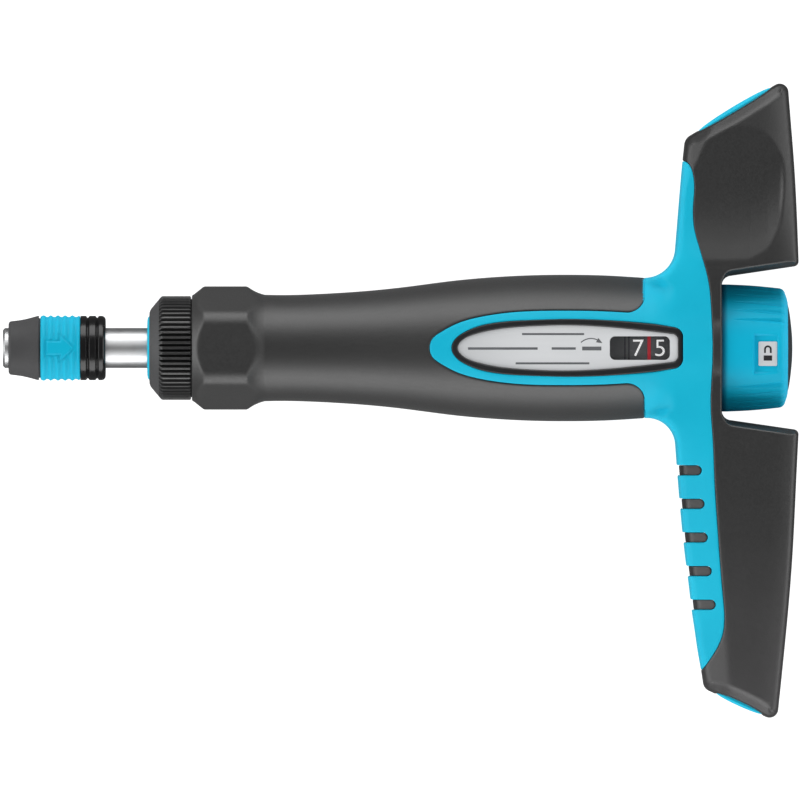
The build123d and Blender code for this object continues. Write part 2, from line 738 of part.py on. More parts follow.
with BuildPart() as lower_end_plug:
    with BuildSketch(lower_end.offset(-plug_depth)):
        Ellipse(5.85, 4.95)
    extrude(amount=plug_depth)
lower_end_plug.part.label = "lower_end_plug"
export_step(lower_end_plug.part, "parts/lower_end_plug.step")

# ---------------------------------------------------------------------------
# Handle: pieces
# ---------------------------------------------------------------------------
core_line = [(x, r - rubber_t) for x, r in grip_line]

with BuildPart() as handle_core:
    add(arm_body.part)
    with BuildSketch(Plane.XY):
        band(grip_end, notch_x, 0, hub_r)
    revolve(axis=Axis.X)
    # room of the dark cover
    add(cover_field.sketch)
    extrude(amount=25.0, both=True, mode=Mode.SUBTRACT)
    add(arm_inner.part)
    # grip tube and snout
    with BuildSketch(Plane.XY):
        with BuildLine():
            Polyline((41.5, 0), (41.5, snout_r - 0.3), (41.8, snout_r), (collar_x0, snout_r), (collar_x0, 11.67), (65.4, 11.73))
            Spline(*core_line)
            Polyline((160.3, 15.98), (162.0, 15.98), (162.0, 0), (41.5, 0))
        make_face()
    revolve(axis=Axis.X)
    add(tongue_body.part)
    # bores
    with BuildSketch(Plane.XY):
        band(41.0, 48.6, 0, 7.4)
        band(48.5, 147.1, 0, tube_r + 0.03)
        band(147.0, 175.5, 0, drum_r + 0.4)
        band(175.4, 181.0, 0, 16.2)
    revolve(axis=Axis.X, mode=Mode.SUBTRACT)
    # groove of the ring under the lock ring
    with BuildSketch(Plane.XY):
        band(43.5, 44.9, 8.62, 10.2)
    revolve(axis=Axis.X, mode=Mode.SUBTRACT)
    # holes of the cross pins
    with BuildSketch(Plane.XZ.offset(-9.0)):
        with Locations((62.5, 0)):
            Circle(1.03)
    extrude(amount=-3.0, mode=Mode.SUBTRACT)
    with BuildSketch(Plane.XZ.offset(9.0)):
        with Locations((62.5, 0)):
            Circle(1.03)
    extrude(amount=3.0, mode=Mode.SUBTRACT)
    # pocket of the scale frame and opening of the window
    with BuildSketch(Plane.XY.offset(15.65)):
        add(scale_sketch(bezel_half, 169.9, 4.9, 1.6, 0.0))
    extrude(amount=6.0, mode=Mode.SUBTRACT)
    with BuildSketch(Plane.XY.offset(10.0)):
        with Locations((159.1, 0)):
            RectangleRounded(17.2, 7.8, 1.6)
    extrude(amount=6.0, mode=Mode.SUBTRACT)
    # finger slots
    add(slot_cut.part, mode=Mode.SUBTRACT)
    # seats of the end plugs and the cored-out arms behind them
    add(plug_seats.part, mode=Mode.SUBTRACT)
    with BuildSketch(Plane.XZ.offset(-24.0)):
        with Locations((182.9, 0)):
            Ellipse(5.5, 5.0)
    extrude(amount=-44.0, mode=Mode.SUBTRACT)
    with BuildSketch(Plane.XZ.offset(28.0)):
        with Locations((184.1, 0)):
            Ellipse(3.6, 3.4)
    extrude(amount=66.0, mode=Mode.SUBTRACT)
handle_core.part.label = "handle_core"
export_step(handle_core.part, "parts/handle_core.step")

with BuildSketch() as collar_round:
    RegularPolygon(collar_flat, 6, major_radius=False)
    fillet(collar_round.vertices(), collar_edge_r)

with BuildPart() as grip_sleeve:
    add(grip_body.part)
    with BuildSketch(Plane.YZ.offset(grip_end)):
        Rectangle(80, 80)
    extrude(amount=40.0, mode=Mode.SUBTRACT)
    # hexagonal collar
    with BuildSketch(Plane.YZ.offset(collar_x0 - 1.0)):
        Circle(25.0)
        add(collar_round.sketch, mode=Mode.SUBTRACT)
    extrude(amount=66.4 - collar_x0, mode=Mode.SUBTRACT)
    # room of the core
    with BuildSketch(Plane.XY):
        with BuildLine():
            Polyline((collar_x0 - 1, 0), (collar_x0 - 1, 11.67), (collar_x0, 11.67), (65.4, 11.73))
            Spline(*core_line)
            Polyline((160.3, 15.98), (162.0, 15.98), (162.0, 0), (collar_x0 - 1, 0))
        make_face()
    revolve(axis=Axis.X, mode=Mode.SUBTRACT)
    add(tongue_field.sketch)
    extrude(amount=25.0, mode=Mode.SUBTRACT)
grip_sleeve.part.label = "grip_sleeve"
export_step(grip_sleeve.part, "parts/grip_sleeve.step")

with BuildPart() as t_cover:
    add(arm_body.part)
    with BuildSketch(Plane.XY):
        band(174.0, notch_x, 10.0, hub_r)
    revolve(axis=Axis.X)
    add(cover_field.sketch)
    extrude(amount=25.0, both=True, mode=Mode.INTERSECT)
    add(arm_inner.part, mode=Mode.SUBTRACT)
    with BuildSketch(Plane.YZ.offset(170.0)):
        Circle(16.2)
    extrude(amount=12.0, mode=Mode.SUBTRACT)
    add(plug_seats.part, mode=Mode.SUBTRACT)
t_cover.part.label = "t_cover"
export_step(t_cover.part, "parts/t_cover.step")

with BuildPart() as finger_inlays:
    add(slot_cut.part)
    add(slot_face.part, mode=Mode.INTERSECT)
finger_inlays.part.label = "finger_inlays"
export_step(finger_inlays.part, "parts/finger_inlays.step")

with BuildPart() as scale_bezel:
    with BuildSketch(Plane.XY.offset(15.7)):
        add(scale_sketch(bezel_half, 169.9, 4.9, 1.6, 0.05))
        add(scale_sketch(plate_half, 168.5, 3.2, 0.9, 0.0), mode=Mode.SUBTRACT)
    extrude(amount=1.0)
scale_bezel.part.label = "scale_bezel"
export_step(scale_bezel.part, "parts/scale_bezel.step")

with BuildPart() as scale_plate:
    with BuildSketch(Plane.XY.offset(15.7)):
        add(scale_sketch(plate_half, 168.5, 3.2, 0.9, 0.05))
        with Locations((159.1, -0.05)):
            RectangleRounded(15.0, 5.9, 1.35, mode=Mode.SUBTRACT)
    extrude(amount=0.5)
scale_plate.part.label = "scale_plate"
export_step(scale_plate.part, "parts/scale_plate.step")

with BuildPart() as scale_lens:
    with BuildSketch(Plane.XY.offset(14.4)):
        with Locations((159.1, 0)):
            RectangleRounded(17.1, 7.7, 1.55)
    extrude(amount=1.25)
scale_lens.part.label = "scale_lens"
export_step(scale_lens.part, "parts/scale_lens.step")
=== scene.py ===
import math

import bmesh
import bpy
import numpy as np
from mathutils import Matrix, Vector
from mathutils.geometry import delaunay_2d_cdt
from mathutils.kdtree import KDTree


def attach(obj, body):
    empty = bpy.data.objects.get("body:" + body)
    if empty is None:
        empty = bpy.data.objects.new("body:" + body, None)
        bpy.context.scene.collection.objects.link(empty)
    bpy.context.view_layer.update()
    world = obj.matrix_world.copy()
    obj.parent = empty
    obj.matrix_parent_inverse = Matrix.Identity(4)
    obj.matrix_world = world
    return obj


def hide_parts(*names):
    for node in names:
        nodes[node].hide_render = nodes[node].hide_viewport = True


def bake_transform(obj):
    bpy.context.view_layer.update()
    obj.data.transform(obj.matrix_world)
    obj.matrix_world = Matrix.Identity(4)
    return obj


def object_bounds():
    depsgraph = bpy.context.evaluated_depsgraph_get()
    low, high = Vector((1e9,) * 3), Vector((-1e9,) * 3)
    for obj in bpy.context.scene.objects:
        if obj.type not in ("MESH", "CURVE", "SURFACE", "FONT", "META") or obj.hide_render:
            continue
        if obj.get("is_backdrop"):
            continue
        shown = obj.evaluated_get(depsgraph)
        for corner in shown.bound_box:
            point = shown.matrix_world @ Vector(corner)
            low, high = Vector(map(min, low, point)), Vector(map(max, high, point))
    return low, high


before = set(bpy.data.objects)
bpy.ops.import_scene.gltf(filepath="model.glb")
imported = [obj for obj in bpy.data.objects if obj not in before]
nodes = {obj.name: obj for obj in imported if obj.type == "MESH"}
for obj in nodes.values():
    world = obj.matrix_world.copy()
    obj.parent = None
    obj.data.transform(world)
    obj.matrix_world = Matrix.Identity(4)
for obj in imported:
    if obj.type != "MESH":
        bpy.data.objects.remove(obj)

cad_lo, cad_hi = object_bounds()
scene = bpy.context.scene
MM = 0.001

# ---------------------------------------------------------------------------
# Materials.  All procedural; lengths in the textures are in metres.
# ---------------------------------------------------------------------------


def srgb(*c):
    out = []
    for v in c:
        v = v / 255.0
        out.append(v / 12.92 if v <= 0.04045 else ((v + 0.055) / 1.055) ** 2.4)
    return out


def new_material(name, **sockets):
    m = bpy.data.materials.new(name)
    m.use_nodes = True
    bsdf = m.node_tree.nodes["Principled BSDF"]
    for k, v in sockets.items():
        bsdf.inputs[k.replace("_", " ")].default_value = v
    return m, m.node_tree, bsdf


def add(nt, kind, **kw):
    n = nt.nodes.new(kind)
    for k, v in kw.items():
        setattr(n, k, v)
    return n


def noise_of(nt, coord, scale, detail=3.0, rough=0.55, stretch=None):
    src = coord.outputs["Object"]
    if stretch is not None:
        mp = add(nt, "ShaderNodeMapping")
        mp.inputs["Scale"].default_value = stretch
        nt.links.new(src, mp.inputs["Vector"])
        src = mp.outputs["Vector"]
    n = add(nt, "ShaderNodeTexNoise")
    n.inputs["Scale"].default_value = scale
    n.inputs["Detail"].default_value = detail
    n.inputs["Roughness"].default_value = rough
    nt.links.new(src, n.inputs["Vector"])
    return n


def ramp_of(nt, src, stops):
    r = add(nt, "ShaderNodeValToRGB")
    el = r.color_ramp.elements
    while len(el) < len(stops):
        el.new(0.5)
    for e, (pos, col) in zip(el, stops):
        e.position = pos
        e.color = (*col, 1.0)
    nt.links.new(src, r.inputs["Fac"])
    return r


def range_of(nt, src, lo, hi, f0=0.3, f1=0.7):
    m = add(nt, "ShaderNodeMapRange")
    m.inputs["From Min"].default_value = f0
    m.inputs["From Max"].default_value = f1
    m.inputs["To Min"].default_value = lo
    m.inputs["To Max"].default_value = hi
    nt.links.new(src, m.inputs["Value"])
    return m


def moulded(name, dark, light, rough, grain, height, big=70.0, spec=0.5, stretch=None, coat=0.0, detail=4.0, fade=None, groove=None):
    """Moulded plastic, rubber or worked metal: slow colour drift, fine grain, uneven gloss.

    fade is an axis with two places on it and two colours: the colours take over from the first place to the second, and
    paint light and shade along the axis.
    groove is the same with two distances from the X axis, the smaller one first: the colours are painted shade on the
    floor of the grooves.
    """
    m, nt, b = new_material(name, Specular_IOR_Level=spec, Coat_Weight=coat)
    coord = add(nt, "ShaderNodeTexCoord")
    slow = noise_of(nt, coord, big, 3.0, 0.6, stretch)
    colour = ramp_of(nt, slow.outputs["Fac"], [(0.3, dark), (0.7, light)]).outputs["Color"]
    if fade is not None or groove is not None:
        if fade is not None:
            axis, p0, p1, dark2, light2 = fade
            xyz = add(nt, "ShaderNodeSeparateXYZ")
            nt.links.new(coord.outputs["Object"], xyz.inputs["Vector"])
            part = range_of(nt, xyz.outputs[axis], 0.0, 1.0, p0, p1)
        else:
            p1, p0, dark2, light2 = groove
            across = add(nt, "ShaderNodeVectorMath", operation="MULTIPLY")
            nt.links.new(coord.outputs["Object"], across.inputs[0])
            across.inputs[1].default_value = (0.0, 1.0, 1.0)
            far = add(nt, "ShaderNodeVectorMath", operation="LENGTH")
            nt.links.new(across.outputs["Vector"], far.inputs[0])
            part = range_of(nt, far.outputs["Value"], 0.0, 1.0, p0, p1)
        other = ramp_of(nt, slow.outputs["Fac"], [(0.3, dark2), (0.7, light2)])
        part.interpolation_type = "SMOOTHSTEP"
        mix = add(nt, "ShaderNodeMix", data_type="RGBA")
        nt.links.new(part.outputs["Result"], mix.inputs["Factor"])
        nt.links.new(colour, mix.inputs["A"])
        nt.links.new(other.outputs["Color"], mix.inputs["B"])
        nt.links.new(mix.outputs["Result"], b.inputs["Base Color"])
    else:
        nt.links.new(colour, b.inputs["Base Color"])
    mid = noise_of(nt, coord, grain * 0.35, 2.0, 0.6, stretch)
    gloss = range_of(nt, mid.outputs["Fac"], rough[0], rough[1])
    nt.links.new(gloss.outputs["Result"], b.inputs["Roughness"])
    fine = noise_of(nt, coord, grain, detail, 0.6, stretch)
    bump = add(nt, "ShaderNodeBump")
    bump.inputs["Strength"].default_value = 1.0
    bump.inputs["Distance"].default_value = height
    nt.links.new(fine.outputs["Fac"], bump.inputs["Height"])
    nt.links.new(bump.outputs["Normal"], b.inputs["Normal"])
    return m


def metal(name, dark, light, rough, grain, height, stretch=None, big=60.0):
    m = moulded(name, dark, light, rough, grain, height, big=big, stretch=stretch)
    m.node_tree.nodes["Principled BSDF"].inputs["Metallic"].default_value = 1.0
    return m


M = {}
M["turquoise_plastic"] = moulded("turquoise_plastic", srgb(21, 175, 206), srgb(25, 181, 211), (0.42, 0.52), 3800, 0.000012, spec=0.12)
M["ring_turquoise"] = moulded("ring_turquoise", srgb(12, 170, 202), srgb(16, 176, 208), (0.40, 0.50), 3800, 0.000012, spec=0.15)
# The knob darkens towards its front end, next to the hub: painted shadow.
M["knob_turquoise"] = moulded("knob_turquoise", srgb(10, 171, 206), srgb(14, 178, 212), (0.40, 0.50), 3800, 0.000012, spec=0.12, fade=("X", 0.1814, 0.1797, srgb(0, 84, 112), srgb(0, 90, 118)))
M["soft_black"] = moulded("soft_black", srgb(20, 20, 20), srgb(25, 25, 25), (0.44, 0.52), 5200, 0.000022, spec=0.95)
# The T cover grows lighter towards the end of the long arm: painted light.
M["cover_black"] = moulded("cover_black", srgb(20, 20, 20), srgb(25, 25, 25), (0.44, 0.52), 5200, 0.000022, spec=0.9, fade=("Y", -0.030, -0.092, srgb(42, 41, 42), srgb(48, 47, 48)))
M["sleeve_black"] = moulded("sleeve_black", srgb(60, 60, 61), srgb(67, 67, 68), (0.54, 0.64), 3000, 0.000010, spec=0.3)
M["sleeve_rear_black"] = moulded("sleeve_rear_black", srgb(14, 14, 15), srgb(20, 20, 21), (0.18, 0.26), 3000, 0.000006, spec=0.5)
# The knurl grooves are darker at their floors: painted shade in the grooves.
M["ring_black"] = moulded("ring_black", srgb(21, 22, 22), srgb(28, 28, 29), (0.38, 0.48), 4200, 0.000014, spec=0.9, groove=(0.0121, 0.0128, srgb(3, 3, 3), srgb(6, 6, 6)))
# A lighter copy of the lock ring's black for its front bevel: painted light on the bevel.
M["ring_face"] = moulded("ring_face", srgb(60, 60, 61), srgb(68, 68, 69), (0.44, 0.54), 4200, 0.000012, spec=0.6)
M["bezel_dark"] = moulded("bezel_dark", srgb(22, 23, 25), srgb(29, 30, 32), (0.36, 0.46), 4200, 0.000008, spec=0.5)
M["cap_dark"] = moulded("cap_dark", srgb(36, 44, 48), srgb(46, 54, 59), (0.46, 0.56), 4200, 0.000010, spec=0.25)
M["inner_black"] = moulded("inner_black", srgb(12, 12, 13), srgb(18, 18, 19), (0.50, 0.60), 3200, 0.000012, spec=0.3)
M["drum_dark"] = moulded("drum_dark", srgb(110, 111, 113), srgb(118, 119, 121), (0.46, 0.56), 3200, 0.000008, spec=0.3)
M["print_pale"] = moulded("print_pale", srgb(238, 238, 237), srgb(248, 248, 247), (0.50, 0.60), 5200, 0.000004, spec=0.3)
M["print_dark"] = moulded("print_dark", srgb(34, 35, 37), srgb(42, 43, 45), (0.45, 0.55), 5200, 0.000004, spec=0.3)
M["print_grey"] = moulded("print_grey", srgb(92, 94, 97), srgb(104, 106, 109), (0.45, 0.55), 5200, 0.000004, spec=0.3)
M["print_red"] = moulded("print_red", srgb(188, 48, 60), srgb(204, 58, 68), (0.45, 0.55), 5200, 0.000004, spec=0.3)
# The figures and the red line on the drum glow a little: painted light on the print.
for name, colour, strength in (("print_pale", (1.0, 1.0, 1.0, 1.0), 0.55), ("print_red", (0.62, 0.04, 0.06, 1.0), 0.22)):
    shader = M[name].node_tree.nodes["Principled BSDF"]
    shader.inputs["Emission Color"].default_value = colour
    shader.inputs["Emission Strength"].default_value = strength
for name, weight, tint in (("soft_black", 0.07, (1.0, 1.0, 1.0, 1.0)), ("knob_turquoise", 0.22, (0.02, 0.22, 0.60, 1.0))):
    shader = M[name].node_tree.nodes["Principled BSDF"]
    shader.inputs["Sheen Weight"].default_value = weight
    shader.inputs["Sheen Tint"].default_value = tint
# The plate darkens towards its left end: painted shade.
M["plate_metal"] = moulded("plate_metal", srgb(204, 206, 208), srgb(213, 215, 217), (0.40, 0.50), 2600, 0.000006, big=160.0, spec=0.4, stretch=(0.08, 1.0, 1.0), fade=("X", 0.134, 0.113, srgb(190, 192, 194), srgb(200, 202, 204)))
M["shaft_steel"] = metal("shaft_steel", srgb(192, 193, 194), srgb(202, 203, 204), (0.36, 0.42), 2400, 0.000004, (1.0, 0.2, 0.2))
M["steel"] = metal("steel", srgb(150, 151, 153), srgb(172, 173, 175), (0.28, 0.38), 2400, 0.000006)
M["spring_steel"] = metal("spring_steel", srgb(128, 129, 132), srgb(150, 151, 154), (0.28, 0.40), 2600, 0.000006)
M["bright_steel"] = metal("bright_steel", srgb(196, 198, 200), srgb(212, 214, 216), (0.12, 0.20), 2600, 0.000003)
M["magnet"] = metal("magnet", srgb(128, 128, 132), srgb(148, 148, 152), (0.24, 0.34), 2200, 0.000006)
M["tube_aluminium"] = metal("tube_aluminium", srgb(176, 178, 181), srgb(194, 196, 199), (0.32, 0.42), 2200, 0.000006, (1.0, 0.25, 0.25))
M["bronze"] = metal("bronze", srgb(150, 106, 60), srgb(172, 126, 76), (0.30, 0.42), 2200, 0.000008)
M["o_ring_rubber"] = moulded("o_ring_rubber", srgb(20, 20, 20), srgb(28, 28, 28), (0.44, 0.56), 4200, 0.000010)

m, nt, b = new_material("clear_window", Alpha=0.06, IOR=1.46)
coord = add(nt, "ShaderNodeTexCoord")
haze = noise_of(nt, coord, 420.0, 3.0)
gloss = range_of(nt, haze.outputs["Fac"], 0.02, 0.06)
nt.links.new(gloss.outputs["Result"], b.inputs["Roughness"])
tint = ramp_of(nt, haze.outputs["Fac"], [(0.3, (0.030, 0.031, 0.033)), (0.7, (0.040, 0.041, 0.043))])
nt.links.new(tint.outputs["Color"], b.inputs["Base Color"])
M["clear_window"] = m

# ---------------------------------------------------------------------------
# Mesh helpers.  Lengths in millimetres until the mesh is made.
# ---------------------------------------------------------------------------


def make_piece(name, verts, faces, mat, body, stands_for=(), sharp=None, turn_out=False, across=None):
    me = bpy.data.meshes.new(name)
    v = np.asarray(verts, float) * MM
    me.from_pydata(v.tolist(), [], [tuple(int(i) for i in f) for f in faces])
    me.materials.append(M[mat])
    me.validate()
    if turn_out:
        bm = bmesh.new()
        bm.from_mesh(me)
        bmesh.ops.recalc_face_normals(bm, faces=bm.faces[:])
        bm.to_mesh(me)
        bm.free()
    me.update()
    me.polygons.foreach_set("use_smooth", [True] * len(me.polygons))
    if sharp is not None:
        me.set_sharp_from_angle(angle=math.radians(sharp))
    ob = bpy.data.objects.new(name, me)
    scene.collection.objects.link(ob)
    if across is None:
        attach(ob, body)
    else:
        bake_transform(ob)
    if stands_for:
        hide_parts(*stands_for)
    return ob


def spline(pts, step=0.3):
    """Natural cubic curve through points, sampled at a step."""
    p = np.array(pts, float)
    t = np.r_[0.0, np.cumsum(np.linalg.norm(np.diff(p, axis=0), axis=1))]
    n = len(t)
    h = np.diff(t)
    a = np.zeros((n, n))
    r = np.zeros_like(p)
    a[0, 0] = a[-1, -1] = 1.0
    for i in range(1, n - 1):
        a[i, i - 1], a[i, i], a[i, i + 1] = h[i - 1], 2 * (h[i - 1] + h[i]), h[i]
        r[i] = 6 * ((p[i + 1] - p[i]) / h[i] - (p[i] - p[i - 1]) / h[i - 1])
    m2 = np.linalg.solve(a, r)
    tt = np.linspace(0, t[-1], max(2, int(round(t[-1] / step))) + 1)
    k = np.clip(np.searchsorted(t, tt, side="right") - 1, 0, n - 2)
    hk = h[k][:, None]
    u = (tt - t[k])[:, None]
    w = (t[k + 1] - tt)[:, None]
    return (
        (m2[k] * w ** 3 + m2[k + 1] * u ** 3) / (6 * hk)
        + (p[k] / hk - m2[k] * hk / 6) * w
        + (p[k + 1] / hk - m2[k + 1] * hk / 6) * u
    )


def resample(poly, step):
    p = np.asarray(poly, float)
    s = np.r_[0.0, np.cumsum(np.linalg.norm(np.diff(p, axis=0), axis=1))]
    n = max(1, int(round(s[-1] / step)))
    q = np.linspace(0, s[-1], n + 1)
    return np.stack([np.interp(q, s, p[:, k]) for k in range(p.shape[1])], 1)


def arc3(a, b, c, step=0.3):
    (ax, ay), (bx, by), (cx, cy) = a, b, c
    d = 2 * (ax * (by - cy) + bx * (cy - ay) + cx * (ay - by))
    ux = ((ax * ax + ay * ay) * (by - cy) + (bx * bx + by * by) * (cy - ay) + (cx * cx + cy * cy) * (ay - by)) / d
    uy = ((ax * ax + ay * ay) * (cx - bx) + (bx * bx + by * by) * (ax - cx) + (cx * cx + cy * cy) * (bx - ax)) / d
    r = math.hypot(ax - ux, ay - uy)
    t0, t1, t2 = (math.atan2(y - uy, x - ux) for x, y in (a, b, c))
    up1, up2 = (t1 - t0) % (2 * math.pi), (t2 - t0) % (2 * math.pi)
    span = up2 if up1 <= up2 else up2 - 2 * math.pi
    n = max(2, int(round(abs(span) * r / step)))
    th = t0 + span * np.linspace(0, 1, n + 1)
    return np.stack([ux + r * np.cos(th), uy + r * np.sin(th)], 1)


def poly_dist(pts, line, chunk=1500):
    """Distance to a polyline, with the place along it as a fractional index."""
    pts = np.asarray(pts, float)
    line = np.asarray(line, float)
    if len(line) > 60:
        tree = KDTree(len(line))
        for i, q in enumerate(line):
            tree.insert((q[0], q[1], 0.0), i)
        tree.balance()
        near = np.array([tree.find((q[0], q[1], 0.0))[1] for q in pts], int)
        dist = np.full(len(pts), 1e9)
        at = np.zeros(len(pts))
        for o in (-2, -1, 0, 1):
            k = np.clip(near + o, 0, len(line) - 2)
            d = line[k + 1] - line[k]
            q = pts - line[k]
            t = np.clip((q * d).sum(1) / np.maximum((d ** 2).sum(1), 1e-12), 0, 1)
            e = np.linalg.norm(q - t[:, None] * d, axis=1)
            better = e < dist
            dist[better] = e[better]
            at[better] = (k + t)[better]
        return dist, at
    a, b = line[:-1], line[1:]
    d = b - a
    l2 = np.maximum((d ** 2).sum(1), 1e-12)
    dist = np.empty(len(pts))
    at = np.empty(len(pts))
    for s in range(0, len(pts), chunk):
        q = pts[s:s + chunk, None, :] - a[None]
        t = np.clip((q * d).sum(2) / l2, 0, 1)
        r = q - t[..., None] * d
        e = (r ** 2).sum(2)
        k = e.argmin(1)
        row = np.arange(len(k))
        dist[s:s + chunk] = np.sqrt(e[row, k])
        at[s:s + chunk] = k + t[row, k]
    return dist, at


def inside(pts, poly):
    """Even-odd test of points against a closed polygon."""
    x, y = np.asarray(pts, float).T
    res = np.zeros(len(x), bool)
    n = len(poly)
    for i in range(n):
        x0, y0 = poly[i]
        x1, y1 = poly[(i + 1) % n]
        if y0 == y1:
            continue
        hit = (y0 > y) != (y1 > y)
        res ^= hit & (x < x0 + (y - y0) * (x1 - x0) / (y1 - y0))
    return res


def merge(verts, faces, tol=1e-3):
    """Joins vertices that share a place."""
    v = np.asarray(verts, float)
    tree = KDTree(len(v))
    for i, q in enumerate(v):
        tree.insert(q, i)
    tree.balance()
    back = np.full(len(v), -1)
    first = []
    for i, q in enumerate(v):
        if back[i] < 0:
            for _, j, _ in tree.find_range(q, tol):
                if back[j] < 0:
                    back[j] = len(first)
            first.append(i)
    out = []
    for f in faces:
        g = []
        for i in f:
            j = int(back[i])
            if not g or g[-1] != j:
                g.append(j)
        if len(g) > 1 and g[0] == g[-1]:
            g.pop()
        if len(set(g)) == len(g) and len(g) >= 3:
            out.append(tuple(g))
    return v[first], out


def vertex_normals(v, faces):
    n = np.zeros_like(v)
    f3 = np.array([f if len(f) == 3 else f[:3] for f in faces])
    fn = np.cross(v[f3[:, 1]] - v[f3[:, 0]], v[f3[:, 2]] - v[f3[:, 0]])
    for k in range(3):
        np.add.at(n, f3[:, k], fn)
    f4 = [f for f in faces if len(f) == 4]
    if f4:
        f4 = np.array(f4)
        fn = np.cross(v[f4[:, 2]] - v[f4[:, 0]], v[f4[:, 3]] - v[f4[:, 0]])
        for k in (0, 2, 3):
            np.add.at(n, f4[:, k], fn)
    return n / np.maximum(np.linalg.norm(n, axis=1), 1e-12)[:, None]


def open_edges(faces):
    """Edges with one face, in the direction of that face."""
    seen = {}
    for f in faces:
        for i, j in zip(f, f[1:] + f[:1]):
            k = (i, j) if i < j else (j, i)
            if k in seen:
                seen[k] = None
            else:
                seen[k] = (i, j)
    return [e for e in seen.values() if e]


def flange(v, faces, depth, direction=None):
    """Turns the open edges of a sheet inwards."""
    n = vertex_normals(v, faces)
    edges = open_edges(faces)
    ids = sorted({i for e in edges for i in e})
    where = {i: len(v) + k for k, i in enumerate(ids)}
    d = n[ids] * -depth
    if direction is not None:
        d = direction(v[ids], n[ids], d)
    v2 = np.vstack([v, v[ids] + d])
    f2 = list(faces) + [(j, i, where[i], where[j]) for i, j in edges]
    return v2, f2


def grid_faces(rows, cols, closed=True, start=0):
    out = []
    for r in range(rows - 1):
        for c in range(cols if closed else cols - 1):
            d = (c + 1) % cols
            out.append((start + r * cols + c, start + r * cols + d, start + (r + 1) * cols + d, start + (r + 1) * cols + c))
    return out


def turned(xr, theta):
    """Points of a shape turned about X: rows of x and radius (radius may vary with the angle)."""
    v = []
    for x, r in xr:
        r = np.broadcast_to(r, theta.shape)
        v.append(np.stack([np.broadcast_to(x, theta.shape), r * np.sin(theta), r * np.cos(theta)], 1))
    return np.vstack(v)


def lathe(name, profile, mat, body, stands_for=(), n=128, sharp=32):
    th = np.linspace(0, 2 * math.pi, n, endpoint=False)
    v = turned(profile, th)
    f = grid_faces(len(profile), n)
    return make_piece(name, v, f, mat, body, stands_for, sharp, True)


def rounded(profile, radii, step=0.12):
    """Polyline with its corners turned into arcs."""
    p = [np.array(q, float) for q in profile]
    out = [p[0]]
    for k in range(1, len(p) - 1):
        r = radii[k] if isinstance(radii, (list, tuple)) else radii
        a, b, c = p[k - 1], p[k], p[k + 1]
        u, w = (b - a) / np.linalg.norm(b - a), (c - b) / np.linalg.norm(c - b)
        cosang = float(np.clip(u @ w, -1, 1))
        turn = math.acos(cosang)
        if r <= 0 or turn < 0.02:
            out.append(b)
            continue
        t = min(r * math.tan(turn / 2), 0.45 * np.linalg.norm(b - a), 0.45 * np.linalg.norm(c - b))
        rr = t / math.tan(turn / 2)
        side = 1.0 if u[0] * w[1] - u[1] * w[0] > 0 else -1.0
        nrm = np.array([-u[1], u[0]]) * side
        cen = b - u * t + nrm * rr
        m = max(2, int(math.ceil(turn * rr / step)))
        for i in range(m + 1):
            ang = side * turn * i / m
            d = -nrm
            out.append(cen + rr * np.array([d[0] * math.cos(ang) - d[1] * math.sin(ang), d[0] * math.sin(ang) + d[1] * math.cos(ang)]))
    out.append(p[-1])
    return [(float(a), float(b)) for a, b in out]


def smooth_min(a, b, k):
    h = np.maximum(k - np.abs(a - b), 0.0) / k
    return np.minimum(a, b) - h * h * k / 4


def smooth_max(a, b, k):
    k = np.maximum(k, 1e-6)
    h = np.maximum(k - np.abs(a - b), 0.0) / k
    return np.maximum(a, b) + h * h * k / 4


def smooth_step(x, lo, hi):
    t = np.clip((x - lo) / (hi - lo), 0, 1)
    return t * t * (3 - 2 * t)


# ---------------------------------------------------------------------------
# Handle: outlines seen from above
# ---------------------------------------------------------------------------
NOTCH_X = 179.7
T_HALF = 16.0
HUB_R = 17.48
GRIP_END = 160.3

grip_line = [
    (65.4, 13.33), (70.0, 13.27), (78.1, 13.49), (89.4, 14.17), (100.6, 15.29),
    (111.9, 16.76), (123.1, 17.77), (134.4, 18.28), (141.9, 18.335), (149.4, 18.21), (160.3, 17.58),
]
_grip = spline(grip_line, 0.25)
_grip[:, 1] -= 0.02


def body_radius(x):
    """Radius of the grip and, behind it, of the hub."""
    x = np.asarray(x, float)
    r = np.interp(x, _grip[:, 0], _grip[:, 1])
    return np.where(x > GRIP_END, HUB_R + 0.08 * np.exp(-np.maximum(x - GRIP_END, 0) / 2.0), r)


arm_edges = [
    [(GRIP_END + 0.05, 17.55), (167.35, 17.0)],
    [(167.35, 17.0), (168.98, 36.9), (169.67, 44.9), (170.45, 52.35)],
    [(170.45, 52.35), (196.1, 67.62)],
    [(196.1, 67.62), (196.85, 58.0), (197.8, 45.9), (198.95, 20.55)],
    [(198.95, 20.55), (NOTCH_X, 17.7)],
    [(NOTCH_X, 17.7), (NOTCH_X, -17.7)],
    [(NOTCH_X, -17.7), (198.95, -20.5)],
    [(198.95, -20.5), (198.4, -31.4), (197.3, -53.1), (195.5, -74.1), (193.5, -93.5)],
    [(193.5, -93.5), (175.2, -85.14)],
    [(175.2, -85.14), (174.4, -80.0), (173.68, -76.0), (172.8, -70.0), (172.2, -66.0), (171.5, -60.0), (170.62, -53.1), (168.97, -36.6), (167.5, -17.0)],
    [(167.5, -17.0), (GRIP_END + 0.05, -17.55)],
]
corner_r = [7.6, 2.9, 2.2, 1.3, 2.4, 2.4, 1.3, 2.2, 2.6, 7.0]
